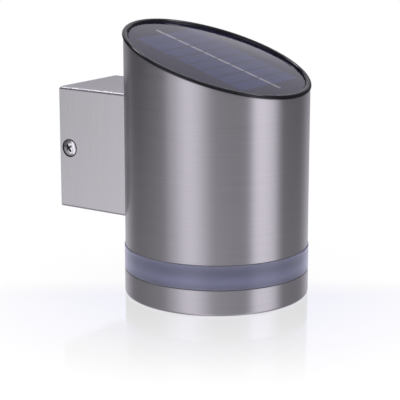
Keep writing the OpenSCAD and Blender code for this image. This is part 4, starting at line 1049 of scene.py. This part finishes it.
# degrees to the right of the camera, level near the floor, level higher up
CARDS = [(-180, 0.24, 0.10), (-106, 0.28, 0.08), (-75, 0.32, 0.18), (-67, 0.29, 0.27),
         (-60, 0.44, 0.59), (-53, 0.54, 0.65), (-45, 0.72, 0.89), (-36, 0.91, 1.00),
         (-27, 0.89, 0.80), (-21, 0.85, 0.63), (-15, 0.72, 0.44), (-9, 0.61, 0.25),
         (-3, 0.48, 0.19), (9, 0.46, 0.20), (21, 0.41, 0.20), (35, 0.34, 0.24), (40, 0.31, 0.42),
         (45, 0.63, 1.09), (49, 0.83, 1.16), (58, 0.91, 1.08), (67, 0.91, 0.90),
         (75, 0.86, 0.58), (81, 0.61, 0.20), (87, 0.27, 0.09), (93, 0.27, 0.13),
         (180, 0.24, 0.10)]
# (degrees up, share of the ceiling)
CEILING = [(0, 0), (44, 0), (49, 1), (90, 1)]
CEILING_LEVEL = 0.25
# the degrees up at which the two levels hold
NEAR_FLOOR, HIGHER_UP = -15, -8
# name, half width in degrees round the back, lowest and highest degree, softness, added level
WINDOWS = [("sky behind", 32, 20, 42, 1.5, 0.56), ("strip behind", 75, 51, 57, 1.5, 4.5),
           ("gap behind", 16, 13, 20, 1.5, 0.77), ("backdrop", 40, -60, -2, 14, 0.4)]


def from_camera(degrees):
    """Direction on the floor plan, in degrees to the right of the camera."""
    a = CAMERA_AZIMUTH + math.radians(degrees)
    return (math.sin(a), -math.cos(a), 0)


def rising(tree, value, start, end):
    """From 0 at one angle to 1 at another, both in degrees."""
    return map_range(tree, value, math.radians(start), math.radians(end))


def inside(tree, value, low, high, soft):
    """1 where an angle lies between two bounds in degrees, with edges that are soft both ways."""
    return math_node(tree, "MULTIPLY", rising(tree, value, low - soft, low + soft),
                     rising(tree, value, high + soft, high - soft))


print(len(CARDS), "levels round the light,", len(WINDOWS), "places behind it")

# %% The tent's material
tent_material, tree = new_material("tent")
tree.nodes.clear()
aim = add_node(tree, "VectorMath", {0: place_on(tree)}, operation="NORMALIZE").outputs[0]
ahead, aside = (add_node(tree, "VectorMath", {0: aim, 1: from_camera(degrees)},
                         operation="DOT_PRODUCT").outputs["Value"] for degrees in (0, 90))
turn = math_node(tree, "ARCTAN2", aside, ahead)
rise = math_node(tree, "ARCSINE", parts_of(tree, aim)["Z"])
behind = math_node(tree, "SUBTRACT", math.pi, math_node(tree, "ABSOLUTE", turn))
low_walls, high_walls = (
    curve_of(tree, turn, [(card[0], card[k]) for card in CARDS], math.radians(1)) for k in (1, 2))
walls = add_node(tree, "Mix", {
    2: low_walls, 3: high_walls, 0: rising(tree, rise, NEAR_FLOOR, HIGHER_UP)}).outputs[0]
roofed = curve_of(tree, rise, CEILING, math.radians(1))
level = add_node(tree, "Mix", {2: walls, 3: CEILING_LEVEL, 0: roofed}).outputs[0]
for label, half, low, high, soft, strength in WINDOWS:
    across = inside(tree, behind, -half, half, soft)
    glow = math_node(tree, "MULTIPLY", across, inside(tree, rise, low, high, soft))
    level = math_node(tree, "ADD", level, math_node(tree, "MULTIPLY", glow, strength))
    print(label, "from", low, "to", high, "degrees up, strength", strength)
shine = add_node(tree, "Emission", {"Color": TENT_TINT, "Strength": level})
add_node(tree, "OutputMaterial", {"Surface": shine.outputs[0]})


# %% The tent itself
def hide_from(thing, *rays):
    for ray in rays:
        setattr(thing, f"visible_{ray}", False)


bm = bmesh.new()
bmesh.ops.create_uvsphere(
    bm, u_segments=TENT_STEPS, v_segments=TENT_STEPS // 2, radius=TENT_RADIUS)
tent = put_in_scene("tent", mesh_from("tent", bm))
tent.data.materials.append(tent_material)
tent.location = (0, AXIS_Y, 0)
hide_from(tent, "camera", "diffuse", "transmission", "volume_scatter", "shadow")
print("tent", 2 * TENT_RADIUS, "m across")

# %% [markdown]
# ## Floor and world
# The light stands on a plain white floor with a faint mirror image of its foot. To the camera
# the floor is paper under an almost even white, as a bright studio shot shows it. Over both
# lies a glossy skin, which shows only in front of the light and fades away from its foot.
# Reflections in the metal skip the floor, because in the studio it ended close by, and a camera
# that looks up from beneath sees through it to the light's underside. The world is white where
# the camera, a reflection or clear plastic looks at it, and a plain grey as a source of light.

# %% Shaders of the floor
FLOOR_SIDE = 6.0
PAPER_DARK, PAPER_PALE = 0.95, 0.99
MIRROR_TINT, MIRROR_ROUGHNESS = (0.76, 0.77, 1, 1), 0.08
MIRROR_SHARE, MIRROR_END = 0.27, 0.145
FRONT_START, FRONT_END = -0.015, 0.01
LIT_NEAR, LIT_END = 0.93, 0.3

floor_material, tree = new_material("floor")
tree.nodes.remove(tree.nodes["Principled BSDF"])
place = place_on(tree)
cloud = add_node(tree, "TexNoise", {"Vector": place, "Scale": 3.0, "Detail": 2.0})
shade = map_range(tree, cloud.outputs["Fac"], 0, 1, PAPER_DARK, PAPER_PALE)
surface = add_node(tree, "BsdfDiffuse", {"Color": shade}).outputs[0]
mirror = add_node(tree, "BsdfGlossy", {"Color": MIRROR_TINT, "Roughness": MIRROR_ROUGHNESS})
white = add_node(tree, "Emission", {"Strength": 1.0})
clear = add_node(tree, "BsdfTransparent")
seen = add_node(tree, "LightPath").outputs["Is Camera Ray"]
from_axis, off_axis = (
    add_node(tree, "VectorMath", {0: place, 1: (0, AXIS_Y, 0)}, operation=operation)
    for operation in ("DISTANCE", "SUBTRACT"))
ahead = add_node(tree, "VectorMath", {0: off_axis.outputs[0], 1: from_camera(0)},
                 operation="DOT_PRODUCT").outputs["Value"]
front = map_range(tree, ahead, FRONT_START, FRONT_END)
backs = add_node(tree, "NewGeometry").outputs["Backfacing"]
print("floor shaders:", len(tree.nodes), "nodes")


# %% Layers of the floor
def fading(start, end, *shares):
    """A share that changes smoothly with the distance from the light's axis."""
    return map_range(tree, from_axis.outputs["Value"], start, end, *shares,
                     interpolation_type="SMOOTHSTEP")


for layer, share in (
        (white, fading(MIRROR_END, LIT_END, LIT_NEAR, 1.0)),
        (mirror, math_node(
            tree, "MULTIPLY", fading(TUBE_R, MIRROR_END, MIRROR_SHARE, 0.0), front)),
        (clear, backs)):
    surface = add_node(tree, "MixShader", {
        0: math_node(tree, "MULTIPLY", share, seen), 1: surface,
        2: layer.outputs[0]}).outputs[0]
tree.links.new(surface, tree.nodes["Material Output"].inputs["Surface"])
print("mirror image of the foot up to", MIRROR_END, "m from the axis")

# %% Lay the floor
mesh = bpy.data.meshes.new("floor")
half = FLOOR_SIDE / 2
mesh.from_pydata([(-half, -half, 0), (half, -half, 0), (half, half, 0), (-half, half, 0)],
                 [], [(0, 1, 2, 3)])
mesh.materials.append(floor_material)
floor = put_in_scene("floor", mesh)
floor.location = (0, 0, FOOT_Z)
hide_from(floor, "glossy", "shadow")
print("floor at", round(FOOT_Z, 4))

# %% World
AMBIENT = 0.72
world = bpy.data.worlds.new("studio")
bpy.context.scene.world = world
world.use_nodes = True
tree = world.node_tree
tree.nodes.clear()
rays = add_node(tree, "LightPath").outputs
seen = rays["Is Camera Ray"]
for ray in ("Is Glossy Ray", "Is Transmission Ray"):
    seen = math_node(tree, "MAXIMUM", seen, rays[ray])
strength = map_range(tree, seen, 0, 1, AMBIENT, 1)
glow = add_node(tree, "Background", {"Color": (1, 1, 1, 1), "Strength": strength})
add_node(tree, "OutputWorld", {"Surface": glow.outputs[0]})
print("world: light", AMBIENT, "seen as 1.0")

# %% [markdown]
# ## Lamps
# Three large soft lamps stand where the two panels and the ceiling were, and reflections don't
# see them, because the tent stands for them there. The side of the box mirrors what is low on
# the left. It gets a lamp of its own, which the box and its screws mirror and nothing else
# sees, so that the tube stays as dark as it is.

# %% Place the lamps
def soft_lamp(name, degrees, elevation, distance, size, power):
    """A lamp (wide, high) at so many degrees right of the camera and up, aimed at the light."""
    data = bpy.data.lights.new(name, "AREA")
    data.shape = "RECTANGLE"
    data.size, data.size_y = size
    data.energy = power
    lamp = put_in_scene(name, data)
    rise = math.radians(elevation)
    away = Vector(from_camera(degrees)) * math.cos(rise) + Vector((0, 0, math.sin(rise)))
    lamp.location = Vector((0, AXIS_Y, 0)) + away * distance
    lamp.rotation_euler = away.to_track_quat("Z", "Y").to_euler()
    hide_from(lamp, "camera", "glossy")
    print(name, "power", power)
    return lamp


box_lamp = soft_lamp("lamp_box", -69, -13, 1.2, (0.5, 1.1), 0.8)
box_lamp.visible_glossy = True
box_only = bpy.data.collections.new("box_only")
for piece in (frame["nodes"]["mount_box"], bpy.data.objects["side_lock_screws"]):
    box_only.objects.link(piece)
box_lamp.light_linking.receiver_collection = box_only
soft_lamp("lamp_left", -45, 25, 1.3, (0.8, 1.0), 7.5)
soft_lamp("lamp_right", 61, 25, 1.3, (0.5, 1.0), 4.5)
soft_lamp("lamp_top", 180, 80, 1.2, (1.2, 1.2), 4)
